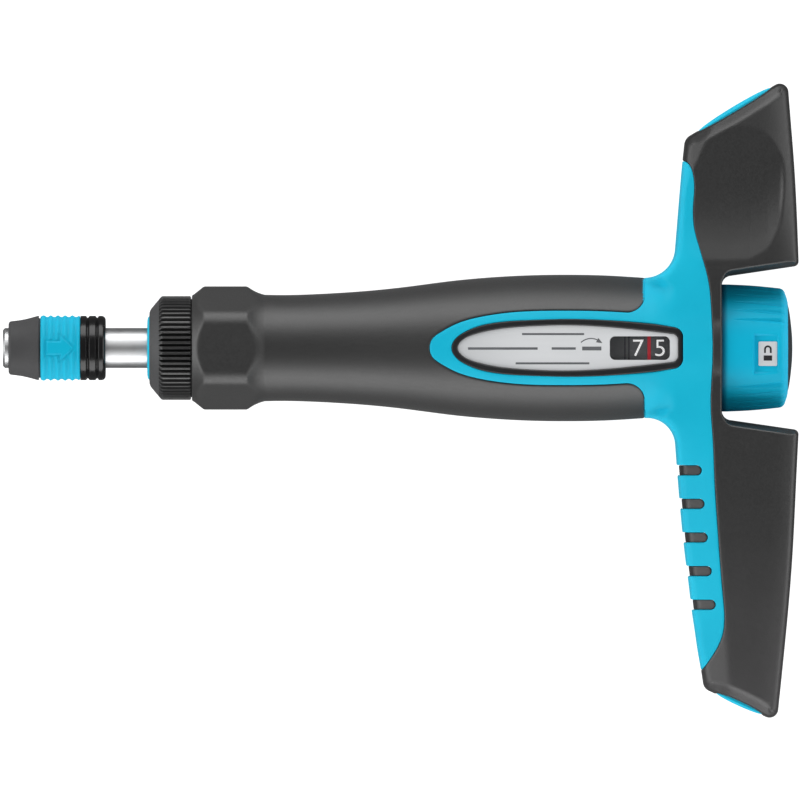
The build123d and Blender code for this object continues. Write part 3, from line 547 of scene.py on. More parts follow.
# wall width, edge radius, wall shape and bevel (1) or round (0) of each edge
edge_w = [0.5, 0.45, 0.5, 0.25, 1.15, 0.04, 1.15, 0.25, 0.5, 0.45, 0.5]
edge_r = [2.5, 1.5, 2.5, 1.2, 0.6, 0.5, 0.6, 1.2, 2.5, 1.5, 2.5]
edge_p = [0.5, 0.5, 0.5, 0.5, 1.0, 1.0, 1.0, 0.5, 0.5, 0.5, 0.5]
edge_c = [0.0, 0.0, 1.0, 0.0, 0.0, 0.0, 0.0, 0.0, 1.0, 0.0, 0.0]


def set_back(pts, origin, along, inward, half, depth):
    """Hollows a straight run of an outline, where a plug closes the end of an arm."""
    q = pts - np.array(origin)
    s = q @ np.array(along)
    on = np.abs(q @ np.array(inward)) < 0.2
    amount = np.where(on & (np.abs(s) < half), depth * np.clip(1 - (s / half) ** 2, 0, 1) ** 0.45, 0.0)
    return pts + amount[:, None] * np.array(inward)[None]


STEP = 0.3
runs = [spline(e, STEP) if len(e) > 2 else resample(e, STEP) for e in arm_edges]
upper_end = ((182.75, 59.76), (0.8566, 0.5160), (-0.5160, 0.8566), 10.7, 5.6)
lower_end = ((183.9, -89.11), (0.9096, -0.4156), (-0.4156, -0.9096), 6.4, 4.0)
outline, ow, orad, opow, oedge = [], [], [], [], []
cut_front = [0.0] * (len(runs) + 1)
arcs = []
for k, r in enumerate(corner_r):
    a, b = runs[k], runs[k + 1]
    c = a[-1]
    u = (a[-1] - a[-6]) / np.linalg.norm(a[-1] - a[-6])
    w = (b[5] - b[0]) / np.linalg.norm(b[5] - b[0])
    turn = math.acos(float(np.clip(u @ w, -1, 1)))
    t = r * math.tan(turn / 2)
    side = 1.0 if u[0] * w[1] - u[1] * w[0] > 0 else -1.0
    nrm = np.array([-u[1], u[0]]) * side
    cen = c - u * t + nrm * r
    m = max(6, int(math.ceil(turn * r / 0.25)))
    pts = []
    for i in range(m + 1):
        ang = side * turn * i / m
        d = -nrm
        pts.append(cen + r * np.array([d[0] * math.cos(ang) - d[1] * math.sin(ang), d[0] * math.sin(ang) + d[1] * math.cos(ang)]))
    arcs.append((t, np.array(pts)))
for k, run in enumerate(runs):
    s = np.r_[0.0, np.cumsum(np.linalg.norm(np.diff(run, axis=0), axis=1))]
    lo = arcs[k - 1][0] if k else -1.0
    hi = s[-1] - (arcs[k][0] if k < len(arcs) else -1.0)
    keep = run[(s > lo + 0.08) & (s < hi - 0.08)]
    if k == 2:
        keep = set_back(keep, upper_end[0], upper_end[1], (0.5160, -0.8566), 10.6, 0.4)
    if k == 8:
        keep = set_back(keep, lower_end[0], lower_end[1], (0.4156, 0.9096), 6.4, 0.62)
    for q in keep:
        outline.append(q); ow.append(edge_w[k]); orad.append(edge_r[k]); opow.append(edge_p[k]); oedge.append(k)
    if k < len(arcs):
        pts = arcs[k][1]
        for i, q in enumerate(pts):
            g = k if i < len(pts) / 2 else k + 1
            outline.append(q); ow.append(edge_w[g]); orad.append(edge_r[g]); opow.append(edge_p[g]); oedge.append(g)
outline = np.array(outline)
oedge = np.array(oedge)
o_arc = np.r_[0.0, np.cumsum(np.linalg.norm(np.diff(outline, axis=0), axis=1))]


def blur_along(values, sigma):
    v = np.array(values, float)
    w = np.exp(-0.5 * ((o_arc[:, None] - o_arc[None]) / sigma) ** 2)
    seg = np.gradient(o_arc)
    w = w * seg[None]
    return (w @ v) / w.sum(1)


ow = np.exp(blur_along(np.log(ow), 0.9))
orad = np.exp(blur_along(np.log(orad), 1.3))
opow = blur_along(opow, 1.2)
ocham = blur_along([edge_c[k] for k in oedge], 0.9)
o_in = np.zeros_like(outline)
tang = np.gradient(outline, axis=0)
tang /= np.linalg.norm(tang, axis=1)[:, None]
o_in = np.stack([tang[:, 1], -tang[:, 0]], 1)
left_up = spline([(167.0, 11.0), (167.35, 17.0), (168.98, 36.9), (170.45, 52.35), (171.7, 66.2)], 0.5)
left_low = spline([(176.6, -96.0), (175.2, -85.14), (173.68, -76.0), (172.8, -70.0), (170.65, -53.1), (168.97, -36.6), (167.5, -17.0), (167.1, -11.0)], 0.5)

# fall of the thumb scoop on the short arm, from the hub outwards
_sy = np.linspace(20.0, 70.0, 501)
_slope = np.interp(_sy, [20.8, 22.2, 25.5, 27.0, 30.0, 33.0, 36.0, 39.0, 43.0], [0.0, 0.31, 0.31, 0.28, 0.24, 0.18, 0.12, 0.06, 0.0])
_fall = np.r_[0.0, np.cumsum(0.5 * (_slope[1:] + _slope[:-1]) * np.diff(_sy))]


def edge_profile(d, w, r, p, c, top):
    lift = r * (1 - 0.2 * c)
    zc = np.maximum(top - lift, 0.5)
    wall = zc * np.clip(d / w, 0, 1) ** p
    e = np.clip((d - w) / r, 0, 1)
    arc = np.sqrt(np.clip(1 - (1 - e) ** 2, 0, 1))
    bevel = smooth_min(1.1 * e, np.ones_like(e), 0.3) / smooth_min(np.array(1.1), np.array(1.0), 0.3)
    return np.where(d < w, wall, zc + lift * (arc * (1 - c) + bevel * c))


def arm_height(xy, recess=0.0, bottom=False):
    """Half thickness of hub and arms over a place seen from above."""
    x, y = xy[:, 0], xy[:, 1]
    d, at = poly_dist(xy, outline)
    d = np.maximum(d - recess, 0.0)
    k = np.arange(len(outline))
    w, r, p, c = (np.interp(at, k, q) for q in (ow, orad, opow, ocham))
    du, _ = poly_dist(xy, left_up)
    dl, _ = poly_dist(xy, left_low)

    def hinge(t, e):
        return 0.5 * (t + np.sqrt(t * t + e * e)) - 0.5 * e * np.exp(-np.abs(t) / e) * 0

    lu = 6.4
    ll = np.interp(-y, [20, 40, 60, 75, 90], [9.3, 9.3, 8.7, 7.6, 6.0])
    fu = 0.47 * hinge(lu - du, 0.5) * smooth_step(y, 16, 34)
    fl = 0.45 * hinge(ll - dl, 0.5) * smooth_step(-y, 16, 34)
    # both arms get thinner towards their ends; the short one falls to the right as well
    tu = np.clip(y - 28.0, 0, 17.0)
    ru, _ = poly_dist(xy, runs[3])
    rl, _ = poly_dist(xy, runs[7])
    roll_up = 0.0013 * np.maximum(10.5 - ru, 0.0) ** 3 * smooth_step(y, 17, 20) + 0.010 * np.maximum(11.0 - ru, 0.0) ** 2 * smooth_step(y, 18, 36)
    roll_low = 0.0012 * np.maximum(10.5 - rl, 0.0) ** 3 * smooth_step(-y, 17, 20)
    thin_up = 0.10 * (tu ** 2 / 34.0 + np.maximum(y - 45.0, 0.0)) + roll_up
    thin_low = 0.0008 * np.maximum(-y - 25.0, 0.0) ** 2 + roll_low
    root = T_HALF - 0.06 * np.maximum(np.abs(y) - 18.0, 0.0)
    top = root - np.where(y > 0, fu + thin_up, fl + thin_low)
    # thumb scoop
    start = np.interp(x, [180.0, 186.5, 191.0, 194.2, 195.7, 198.5], [0.0, 0.3, 2.3, 5.5, 11.0, 26.0])
    top = np.where(y > 20.0, smooth_min(top, T_HALF - 0.17 - np.interp(y - start, _sy, _fall), 0.10), top)
    h = edge_profile(d, w, r, p, c, top)
    rr = body_radius(x)
    hub = np.sqrt(np.maximum(rr ** 2 - y ** 2, 0.0))
    e = np.clip((NOTCH_X - x) / 0.5, 0, 1)
    hub = hub - np.where(np.abs(y) < 17.6, 0.5 * (1 - np.sqrt(np.clip(1 - (1 - e) ** 2, 0, 1))), 0.0)
    hub = np.where(x > NOTCH_X + 0.01, 0.0, np.maximum(hub, 0.0))
    join = smooth_step(x + 1.2 * np.maximum(np.abs(y) - 15.0, 0.0), 160.4, 168.5)
    h = np.where(x > NOTCH_X + 0.01, h, h * join + np.minimum(hub, h) * (1 - join))
    h = smooth_max(h, hub, 1.4 * join * np.clip(d / 5.0, 0, 1))
    h = h - recess
    edge = d < 1e-5
    hole = np.sqrt(np.maximum(16.2 ** 2 - y ** 2, 0.0))
    on_floor = edge & (np.abs(x - NOTCH_X) < 1e-3) & (np.abs(y) < 16.2)
    return np.where(on_floor, hole, np.where(edge, 0.0, np.maximum(h, 0.0)))


cover_border = spline([
    (168.2, 47.35), (169.0, 47.0), (170.6, 46.5), (171.9, 44.9), (172.6, 42.4), (172.75, 40.0), (172.5, 36.0), (172.45, 32.5), (172.9, 29.0), (173.9, 25.4),
    (175.2, 20.9), (176.3, 16.4), (176.8, 12.0), (177.15, 6.0), (177.15, -6.0), (176.8, -13.0), (177.0, -18.2), (177.4, -24.0),
    (177.7, -32.6), (178.25, -41.6), (179.0, -52.1), (179.75, -61.1), (180.2, -68.0), (179.9, -71.0), (178.6, -74.6),
    (176.8, -77.6), (175.3, -79.6), (172.5, -82.0), (171.0, -83.2),
], 0.5)
cover_field = np.vstack([cover_border, [(165.0, -84.0), (165.0, -110.0), (210.0, -110.0), (210.0, 80.0), (165.0, 80.0), (165.0, 48.0)]])
tongue_half = [(106.6, 0.0), (107.1, 2.0), (109.4, 4.0), (113.1, 6.0), (120.1, 8.0), (127.4, 9.0), (141.4, 9.4), (150.0, 9.25), (155.4, 8.95)]
_t = spline([(x, -y) for x, y in tongue_half[:0:-1]] + tongue_half, 0.5)
_arc_up = arc3((155.4, 8.95), (159.0, 10.2), (160.35, 13.0), 0.4)
_arc_low = arc3((160.35, -13.0), (159.0, -10.2), (155.4, -8.95), 0.4)
tongue_line = np.vstack([_arc_low[:-1], _t, _arc_up[1:]])
tongue_poly = tongue_line


def scale_loop(half, end_x, end_y, radius, depth=0.0, step=0.4):
    """Closed outline of the scale frame or plate."""
    line = [(x + depth if k == 0 else x, y - depth if k else 0.0) for k, (x, y) in enumerate(half)]
    both = spline([(x, -y) for x, y in line[:0:-1]] + line, step)
    ex, ey = end_x - depth, end_y - depth
    tail = rounded([both[-1], (ex, ey), (ex, -ey), both[0]], [0, radius, radius, 0], 0.2)
    tail = np.array(tail)
    tail = np.vstack([resample(tail[i:i + 2], step) [:-1] if np.linalg.norm(tail[i + 1] - tail[i]) > 0.01 else tail[i:i + 1] for i in range(len(tail) - 1)])
    return np.vstack([both[:-1], tail])


bezel_half = [(112.05, 0.0), (112.8, 2.0), (115.4, 4.0), (117.6, 5.0), (122.0, 6.15), (131.0, 7.0), (141.4, 7.3), (151.0, 7.0), (163.0, 5.95)]
plate_half = [(113.75, 0.0), (114.3, 1.3), (115.5, 2.3), (118.5, 3.45), (124.1, 4.6), (132.6, 5.33), (140.5, 5.55), (146.0, 5.4), (154.2, 4.8), (163.0, 3.85)]
bezel_loop = scale_loop(bezel_half, 169.9, 4.9, 2.5)
plate_loop = scale_loop(plate_half, 168.5, 3.2, 1.4)

slot_y = [-30.6, -38.95, -47.35, -55.75, -64.15]
slot_x = [174.5, 175.2, 176.0, 177.0, 178.0]
slots = []
for sy, sx in zip(slot_y, slot_x):
    nose = arc3((sx - 1.25, sy - 1.25), (sx, sy), (sx - 1.25, sy + 1.25), 0.2)
    slots.append(np.vstack([resample([(164.0, sy - 1.25), (sx - 1.25, sy - 1.25)], 0.35)[:-1], nose, resample([(sx - 1.25, sy + 1.25), (164.0, sy + 1.25)], 0.35)[1:]]))
SLOT_DEEP = 0.55


def offsets(line, dists, closed=False):
    """Points beside a line, on both sides."""
    p = np.asarray(line, float)
    t = np.gradient(p, axis=0)
    if closed:
        t = np.roll(p, -1, 0) - np.roll(p, 1, 0)
    t /= np.maximum(np.linalg.norm(t, axis=1), 1e-9)[:, None]
    n = np.stack([-t[:, 1], t[:, 0]], 1)
    out = []
    for d in dists:
        for s in (1, -1):
            q = p + s * d * n
            e, _ = poly_dist(q, np.vstack([p, p[:1]]) if closed else p)
            out.append(q[e > 0.93 * d])
    return np.vstack(out)


def thin_out(pts, gap):
    """Drops points that stand closer together than a gap."""
    tree = KDTree(len(pts))
    for i, q in enumerate(pts):
        tree.insert((q[0], q[1], 0.0), i)
    tree.balance()
    gone = np.zeros(len(pts), bool)
    for i, q in enumerate(pts):
        if gone[i]:
            continue
        for _, j, _ in tree.find_range((q[0], q[1], 0.0), gap):
            if j > i:
                gone[j] = True
    return pts[~gone]


def hex_grid(x0, x1, y0, y1, step):
    out = []
    dy = step * math.sqrt(3) / 2
    for r, y in enumerate(np.arange(y0, y1, dy)):
        xs = np.arange(x0 + (step / 2 if r % 2 else 0), x1, step)
        out.append(np.stack([xs, np.full_like(xs, y)], 1))
    return np.vstack(out)


def away_from(pts, others, gap):
    tree = KDTree(len(others))
    for i, q in enumerate(others):
        tree.insert((q[0], q[1], 0.0), i)
    tree.balance()
    return np.array([tree.find((q[0], q[1], 0.0))[2] > gap for q in pts])


def triangulate(lines, loops, free):
    """Triangles over free points, with the lines and loops kept as edges."""
    co, ed = [], []
    for line in lines:
        s = len(co)
        co += [Vector(q) for q in line]
        ed += [(s + i, s + i + 1) for i in range(len(line) - 1)]
    for loop in loops:
        s = len(co)
        co += [Vector(q) for q in loop]
        ed += [(s + i, s + (i + 1) % len(loop)) for i in range(len(loop))]
    co += [Vector(q) for q in free]
    v, _, f, *_ = delaunay_2d_cdt(co, ed, [], 0, 1e-5)
    v = np.array([(q.x, q.y) for q in v])
    return v, [tuple(t) for t in f if len(t) == 3]


def outline_rings():
    """Points along the outline of the arms, closer together where the edge bends."""
    out, want = [], []
    idx = np.arange(0, len(outline), 2)
    for i in idx:
        w, r, p = ow[i], orad[i], opow[i]
        ds = [w * t ** (1 / p) for t in ((0.2, 0.45, 0.7, 0.9, 1.0) if w > 0.2 else (1.0,))]
        ds += [w + r * (1 - math.cos(math.radians(a))) for a in ((15, 30, 45, 60, 75, 90) if r > 1 else (30, 60, 90))]
        ds.append(w + r + 0.5)
        for d in ds:
            if d > 0.012:
                out.append(outline[i] + o_in[i] * d)
                want.append(d)
    out, want = np.array(out), np.array(want)
    d, _ = poly_dist(out, outline)
    ok = (np.abs(d - want) < 0.02 + 0.05 * want) & inside(out, outline)
    return out[ok]


def region(v2, tris, keep, z, side):
    """A sheet from the triangles kept, with its height; side 1 faces up, -1 down."""
    ids = sorted({i for t, k in zip(tris, keep) if k for i in t})
    where = {i: n for n, i in enumerate(ids)}
    v = np.column_stack([v2[ids], side * z[ids]])
    f = []
    for t, k in zip(tris, keep):
        if not k:
            continue
        a, b, c = t
        up = (v2[b, 0] - v2[a, 0]) * (v2[c, 1] - v2[a, 1]) - (v2[b, 1] - v2[a, 1]) * (v2[c, 0] - v2[a, 0]) > 0
        q = (a, b, c) if up == (side > 0) else (a, c, b)
        f.append(tuple(where[i] for i in q))
    return v, f


rings = outline_rings()
left_line = np.array([[GRIP_END + 0.05, y] for y in np.linspace(-17.55, 17.55, 71)])
slot_edge = outline + o_in * SLOT_DEEP


def side_mesh(side):
    """Triangles of the hub and arms seen from one side, with the regions they fall in."""
    lines = [outline, cover_border, left_line]
    loops = []
    near = [rings, offsets(cover_border, (0.1, 0.3, 0.7)), offsets(left_line, (0.1, 0.3, 0.7))]
    if side > 0:
        lines.append(tongue_line)
        loops.append(bezel_loop)
        near += [offsets(tongue_line, (0.1, 0.3, 0.7)), offsets(bezel_loop, (0.1, 0.3, 0.7), True)]
    for s in slots:
        lines.append(s)
        sy = s[:, 1].mean()
        near.append(offsets(s, (0.1, 0.3, 0.6)))
        part = slot_edge[(oedge == 9) & (np.abs(slot_edge[:, 1] - sy) < 1.6)]
        lines.append(part)
    fixed = np.vstack(lines + loops)
    near = np.vstack(near)
    near = near[away_from(near, fixed, 0.085)]
    near = thin_out(near, 0.085)
    both = np.vstack([fixed, near])
    free = hex_grid(106.0, 200.0, -93.5, 67.5, 0.95)
    ok = inside(free, outline) | (inside(free, tongue_poly) if side > 0 else False)
    free = free[ok]
    thumb = hex_grid(172.0, 198.0, 19.0, 59.0, 0.5)
    thumb = thumb[inside(thumb, outline)]
    box = (free[:, 0] > 171.8) & (free[:, 1] > 18.8) & (free[:, 1] < 59.2)
    thumb = thumb[away_from(thumb, both, 0.3)]
    free = np.vstack([free[~box & away_from(free, both, 0.55)], thumb])
    v2, tris = triangulate(lines, loops, np.vstack([near, free]))
    cen = np.array([v2[list(t)].mean(0) for t in tris])
    in_t = inside(cen, outline)
    in_cover = inside(cen, cover_field)
    in_slot = np.zeros(len(cen), bool)
    for s in slots:
        in_slot |= inside(cen, s)
    in_slot &= in_t & ~in_cover
    core = in_t & ~in_cover & ~in_slot
    if side > 0:
        in_tongue = inside(cen, tongue_poly) & (cen[:, 0] < GRIP_END + 0.05)
        core = (core | in_tongue) & ~inside(cen, bezel_loop)
    d, _ = poly_dist(cen, outline)
    slot = in_slot & (d > SLOT_DEEP)
    cover = in_t & in_cover
    z = arm_height(v2)
    tong = v2[:, 0] < GRIP_END + 0.045
    z = np.where(tong, np.sqrt(np.maximum(body_radius(v2[:, 0]) ** 2 - v2[:, 1] ** 2, 0)), z)
    # on the left end the sheet stays on the round hub
    on_left = np.abs(v2[:, 0] - GRIP_END - 0.05) < 1e-3
    z = np.where(on_left, np.sqrt(np.maximum(body_radius(v2[:, 0]) ** 2 - v2[:, 1] ** 2, 0)), z)
    zs = arm_height(v2, SLOT_DEEP)
    return v2, tris, core, cover, slot, z, zs


def seam_dip(v, n, lines, width, depth):
    """Rounds a sheet off along the seams between the materials."""
    dip = np.zeros(len(v))
    for line in lines:
        d, _ = poly_dist(v[:, :2], line)
        t = np.clip(d / width, 0, 1)
        dip = np.maximum(dip, depth * (1 - np.sqrt(np.clip(1 - (1 - t) ** 2, 0, 1))))
    return v - n * dip[:, None]


bezel_ring = np.vstack([bezel_loop, bezel_loop[:1]])
parts = {"core": [], "cover": [], "slot": []}
for side in (1, -1):
    v2, tris, core, cover, slot, z, zs = side_mesh(side)
    parts["core"].append(region(v2, tris, core, z, side))
    parts["cover"].append(region(v2, tris, cover, z, side))
    parts["slot"].append(region(v2, tris, slot, zs, side))
    if side > 0:
        top_lines = [cover_border, tongue_line, bezel_ring, left_line[left_line[:, 1] > 12.8], left_line[left_line[:, 1] < -12.8]] + slots


def two_sided(pair):
    (va, fa), (vb, fb) = pair
    return merge(np.vstack([va, vb]), fa + [tuple(i + len(va) for i in f) for f in fb])


v, f = two_sided(parts["core"])
n = vertex_normals(v, f)
upper = v[:, 2] > 0
v[upper] = seam_dip(v[upper], n[upper], top_lines, 0.3, 0.3)
v[~upper] = seam_dip(v[~upper], n[~upper], [cover_border, left_line] + slots, 0.3, 0.3)


def under_cover(p, nrm, d):
    out = d.copy()
    tip = (p[:, 1] > 43.0) & ~inside((p + d)[:, :2], outline)
    out[tip] = (0.9, 0.0, 0.0)
    r = np.hypot(p[:, 1], p[:, 2])
    front = (np.abs(p[:, 0] - GRIP_END - 0.05) < 0.4) & (r > 15.0)
    out[front] = np.column_stack([np.full(len(p), -0.9), -0.5 * p[:, 1] / r, -0.5 * p[:, 2] / r])[front]
    return out


v, f = flange(v, f, 1.1, under_cover)
# front stub under the lock ring
th = np.linspace(0, 2 * math.pi, 128, endpoint=False)
stub = rounded([(41.6, 7.4), (41.5, 9.3), (41.8, 9.65), (43.5, 9.65), (43.5, 8.7), (44.9, 8.7), (44.9, 9.65), (46.96, 9.65), (46.98, 12.3), (47.2, 12.3), (47.22, 9.65), (48.2, 9.65)], 0.03)
sv = turned(stub, th)
make_piece("front_stub", sv, grid_faces(len(stub), 128), "inner_black", "handle", (), 35, True)
make_piece("handle_shell", v, f, "turquoise_plastic", "handle", ["handle_core"])

v, f = two_sided(parts["cover"])
n = vertex_normals(v, f)
v = seam_dip(v, n, [cover_border], 0.3, 0.3)


def into_recess(p, nrm, d):
    out = d.copy()
    hole = (np.abs(p[:, 0] - NOTCH_X) < 0.02) & (np.hypot(p[:, 1], p[:, 2]) < 16.4)
    out[hole] = (-4.2, 0.0, 0.0)
    return out


v, f = flange(v, f, 1.1, into_recess)
make_piece("t_cover_skin", v, f, "cover_black", "handle", ["t_cover"])

v, f = two_sided(parts["slot"])
n = vertex_normals(v, f)
v = seam_dip(v, n, slots, 0.25, 0.12)
v, f = flange(v, f, 0.8)
make_piece("finger_pads", v, f, "cover_black", "handle", ["finger_inlays"])


def end_plug(name, spec, bulge, stands_for):
    """Domed plug in the end of an arm."""
    (ox, oy), (ax, ay), (nx, ny), a, b = spec
    rows = [(1.0, -2.2), (1.0, -0.7), (0.998, -0.5)] + [(math.cos(t), None) for t in np.linspace(0.1, math.pi / 2, 18)]
    th = np.linspace(0, 2 * math.pi, 96, endpoint=False)
    v = []
    for s, depth in rows:
        s = max(s, 1e-3)
        u, w = a * s * np.cos(th), b * s * np.sin(th)
        h = depth if depth is not None else -0.42 + (bulge + 0.42) * (1 - s * s) ** 0.42
        v.append(np.stack([ox + ax * u + nx * h, oy + ay * u + ny * h, w], 1))
    f = grid_faces(len(rows), 96)
    return make_piece(name, np.vstack(v), f, "turquoise_plastic", "handle", stands_for, None, True)


end_plug("short_arm_plug", upper_end, 0.64, ["upper_end_plug"])
end_plug("long_arm_plug", lower_end, 0.34, ["lower_end_plug"])

# ---------------------------------------------------------------------------
# Soft grip with its hexagonal collar
# ---------------------------------------------------------------------------
collar = rounded([(47.25, 13.15), (47.85, 13.5), (50.4, 15.56), (60.9, 15.56)], [0, 0.5, 0.9, 0], 0.2)
collar = np.array(collar + [tuple(q) for q in arc3((60.9, 15.56), (63.2, 14.1), (65.4, 13.33), 0.25)[1:]])
front = np.vstack([collar, _grip[1:]])


def hex_radius(th, a=14.0, rho=4.2):
    """Radius of the rounded hexagon, flats up and down."""
    t = np.abs((th - math.radians(30)) % math.radians(60))
    t = np.minimum(t, math.radians(60) - t)
    c = (a - rho) / math.cos(math.radians(30))
    lim = math.atan2(rho * 0.5, c + rho * math.cos(math.radians(30)))
    arc = c * np.cos(t) + np.sqrt(np.maximum(rho ** 2 - (c * np.sin(t)) ** 2, 0))
    flat = a / np.cos(math.radians(30) - t)
    return np.where(t < lim, arc, flat)


def grip_radius(x, th):
    r = np.interp(x, front[:, 0], front[:, 1])
    return np.where(x < 67.0, smooth_min(r, hex_radius(th), 0.5), r)


NC = 160
th = np.linspace(0, 2 * math.pi, NC, endpoint=False)
xs = np.unique(np.round(np.r_[np.linspace(47.25, 51.5, 24), np.linspace(51.5, 60.5, 14), np.linspace(60.5, 66.5, 22), np.linspace(66.5, 104.0, 42)], 4))
rows = [(48.2, 9.75), (47.25, 9.75), (47.25, 11.0), (47.25, 12.4)]
for x in xs:
    rows.append((x, grip_radius(np.full(NC, x), th)))
rows[4] = (47.25, rows[4][1] - 0.12)
gv = turned(rows, th)
gf = [tuple(reversed(q)) for q in grid_faces(len(rows), NC)]
REF = 16.0
seam = math.pi * REF
left = np.array([[104.0, REF * (t if t <= math.pi + 1e-9 else t - 2 * math.pi)] for t in th])
left = left[np.argsort(left[:, 1])]
left = np.vstack([[104.0, -seam], left[left[:, 1] > -seam + 1e-6]])
if left[-1, 1] < seam - 1e-6:
    left = np.vstack([left, [104.0, seam]])
low = np.array([[x, -seam] for x in np.linspace(104.0, GRIP_END, 58)])
high = low * [1, -1]
right = np.array([[GRIP_END, s] for s in np.linspace(-seam, seam, 110)])
tongue_s = np.stack([tongue_line[:, 0], REF * np.arcsin(np.clip(tongue_line[:, 1] / body_radius(tongue_line[:, 0]), -1, 1))], 1)
tongue_s[0, 0] = tongue_s[-1, 0] = GRIP_END + 0.3
gnear = np.vstack([offsets(tongue_s, (0.1, 0.3, 0.7, 1.2)), offsets(right, (0.1, 0.3, 0.7))])
okg = (gnear[:, 0] > 104.4) & (gnear[:, 0] < GRIP_END - 0.05) & (np.abs(gnear[:, 1]) < seam - 0.3)
gnear = gnear[okg & ~inside(gnear, tongue_s)]
gfix = np.vstack([left, low, high, right, tongue_s])
gnear = thin_out(gnear[away_from(gnear, gfix, 0.085)], 0.085)
gfree = hex_grid(104.3, GRIP_END, -seam, seam, 0.95)
gfree = gfree[~inside(gfree, tongue_s)]
gfree = gfree[away_from(gfree, np.vstack([gfix, gnear]), 0.55)]
v2, tris = triangulate([left, low, high, right, tongue_s], [], np.vstack([gnear, gfree]))
cen = np.array([v2[list(t)].mean(0) for t in tris])
keep = ~inside(cen, tongue_s) & (cen[:, 0] < GRIP_END) & (cen[:, 0] > 104.0) & (np.abs(cen[:, 1]) < seam)
ang = v2[:, 1] / REF
rad = body_radius(np.minimum(v2[:, 0], GRIP_END))
dt, _ = poly_dist(v2, tongue_s)
de = np.abs(v2[:, 0] - GRIP_END)
t = np.clip(np.minimum(dt, de) / 0.32, 0, 1)
rad = rad - 0.32 * (1 - np.sqrt(np.clip(1 - (1 - t) ** 2, 0, 1)))
tv = np.stack([v2[:, 0], rad * np.sin(ang), rad * np.cos(ang)], 1)
tf = []
for tri, k in zip(tris, keep):
    if not k:
        continue
    a, b_, c = tri
    up = (v2[b_, 0] - v2[a, 0]) * (v2[c, 1] - v2[a, 1]) - (v2[b_, 1] - v2[a, 1]) * (v2[c, 0] - v2[a, 0]) > 0
    tf.append((a, b_, c) if up else (a, c, b_))
used = sorted({i for q in tf for i in q})
where = {i: k for k, i in enumerate(used)}
tv = tv[used]
tf = [tuple(where[i] for i in q) for q in tf]
gv, gf = merge(np.vstack([gv, tv]), gf + [tuple(i + len(gv) for i in q) for q in tf], 4e-3)


def only_rear(p, nrm, d):
    out = d.copy()
    out[p[:, 0] < 60] = 0.0
    return out


nrm = vertex_normals(gv, gf)
test = nrm[np.argmax(gv[:, 2])][2]
if test < 0:
    gf = [tuple(reversed(q)) for q in gf]
gv, gf = flange(gv, gf, 1.0, only_rear)
make_piece("grip_skin", gv, gf, "soft_black", "handle", ["grip_sleeve"])

# ---------------------------------------------------------------------------
# Scale: frame, drum figures, plate marks
# ---------------------------------------------------------------------------
def even(loop, n):
    p = np.vstack([loop, loop[:1]])
    s = np.r_[0.0, np.cumsum(np.linalg.norm(np.diff(p, axis=0), axis=1))]
    q = np.linspace(0, s[-1], n, endpoint=False)
    return np.stack([np.interp(q, s, p[:, 0]), np.interp(q, s, p[:, 1])], 1)


def matched(outer, inner, n):
    """The same number of points on two loops, side by side."""
    o = even(outer, n)
    ring = np.vstack([inner, inner[:1]])
    best = []
    for q in o:
        d, at = poly_dist(q[None], ring)
        k = int(at[0])
        k = min(k, len(ring) - 2)
        best.append(ring[k] + (at[0] - k) * (ring[k + 1] - ring[k]))
    return o, np.array(best)


NB = 420
bo, bi = matched(bezel_loop, plate_loop, NB)
rows = []
for f_, z_ in ((0.03, 15.72), (0.03, 16.35), (0.07, 16.55), (0.14, 16.66), (0.24, 16.7), (0.5, 16.7), (0.72, 16.69), (0.82, 16.64), (0.9, 16.52), (0.94, 16.36), (0.955, 16.1), (0.955, 15.75)):
    rows.append(np.column_stack([bo + (bi - bo) * f_, np.full(NB, z_)]))
bv = np.vstack(rows)
make_piece("scale_frame", bv, grid_faces(len(rows), NB), "bezel_dark", "handle", ["scale_bezel"], 40, True)


def round_rect(cx, cy, w, h, r):
    out = []
    for sx, sy, a0 in ((1, 1, 0), (-1, 1, 90), (-1, -1, 180), (1, -1, 270)):
        for a in np.radians(np.linspace(a0, a0 + 90, 9)):
            out.append((cx + sx * (w / 2 - r) + r * math.cos(a), cy + sy * (h / 2 - r) + r * math.sin(a)))
    return np.array(out)


# plate with the window in it
face_loop = scale_loop(plate_half, 168.5, 3.2, 1.4, -0.12)
hole_loop = round_rect(159.1, -0.05, 15.0, 5.9, 1.35)
free = hex_grid(112.0, 170.0, -6.5, 6.5, 1.2)
free = free[inside(free, face_loop) & ~inside(free, hole_loop)]
free = free[away_from(free, np.vstack([face_loop, hole_loop]), 0.4)]
v2, tris = triangulate([], [face_loop, hole_loop], free)
cen = np.array([v2[list(t)].mean(0) for t in tris])
pv, pf = region(v2, tris, inside(cen, face_loop) & ~inside(cen, hole_loop), np.full(len(v2), 16.2), 1)
pv, pf = flange(pv, pf, 0.45)
make_piece("scale_face", pv, pf, "plate_metal", "handle", ["scale_plate"], 40)


def strip(points, width, closed=False):
    """Flat band along a line."""
    p = np.asarray(points, float)
    t = np.gradient(p, axis=0)
    t /= np.linalg.norm(t, axis=1)[:, None]
    nn = np.stack([-t[:, 1], t[:, 0]], 1) * width / 2
    v = np.vstack([p + nn, p - nn])
    m_ = len(p)
    return v, [(i, i + m_, i + m_ + 1, i + 1) for i in range(m_ - 1)]


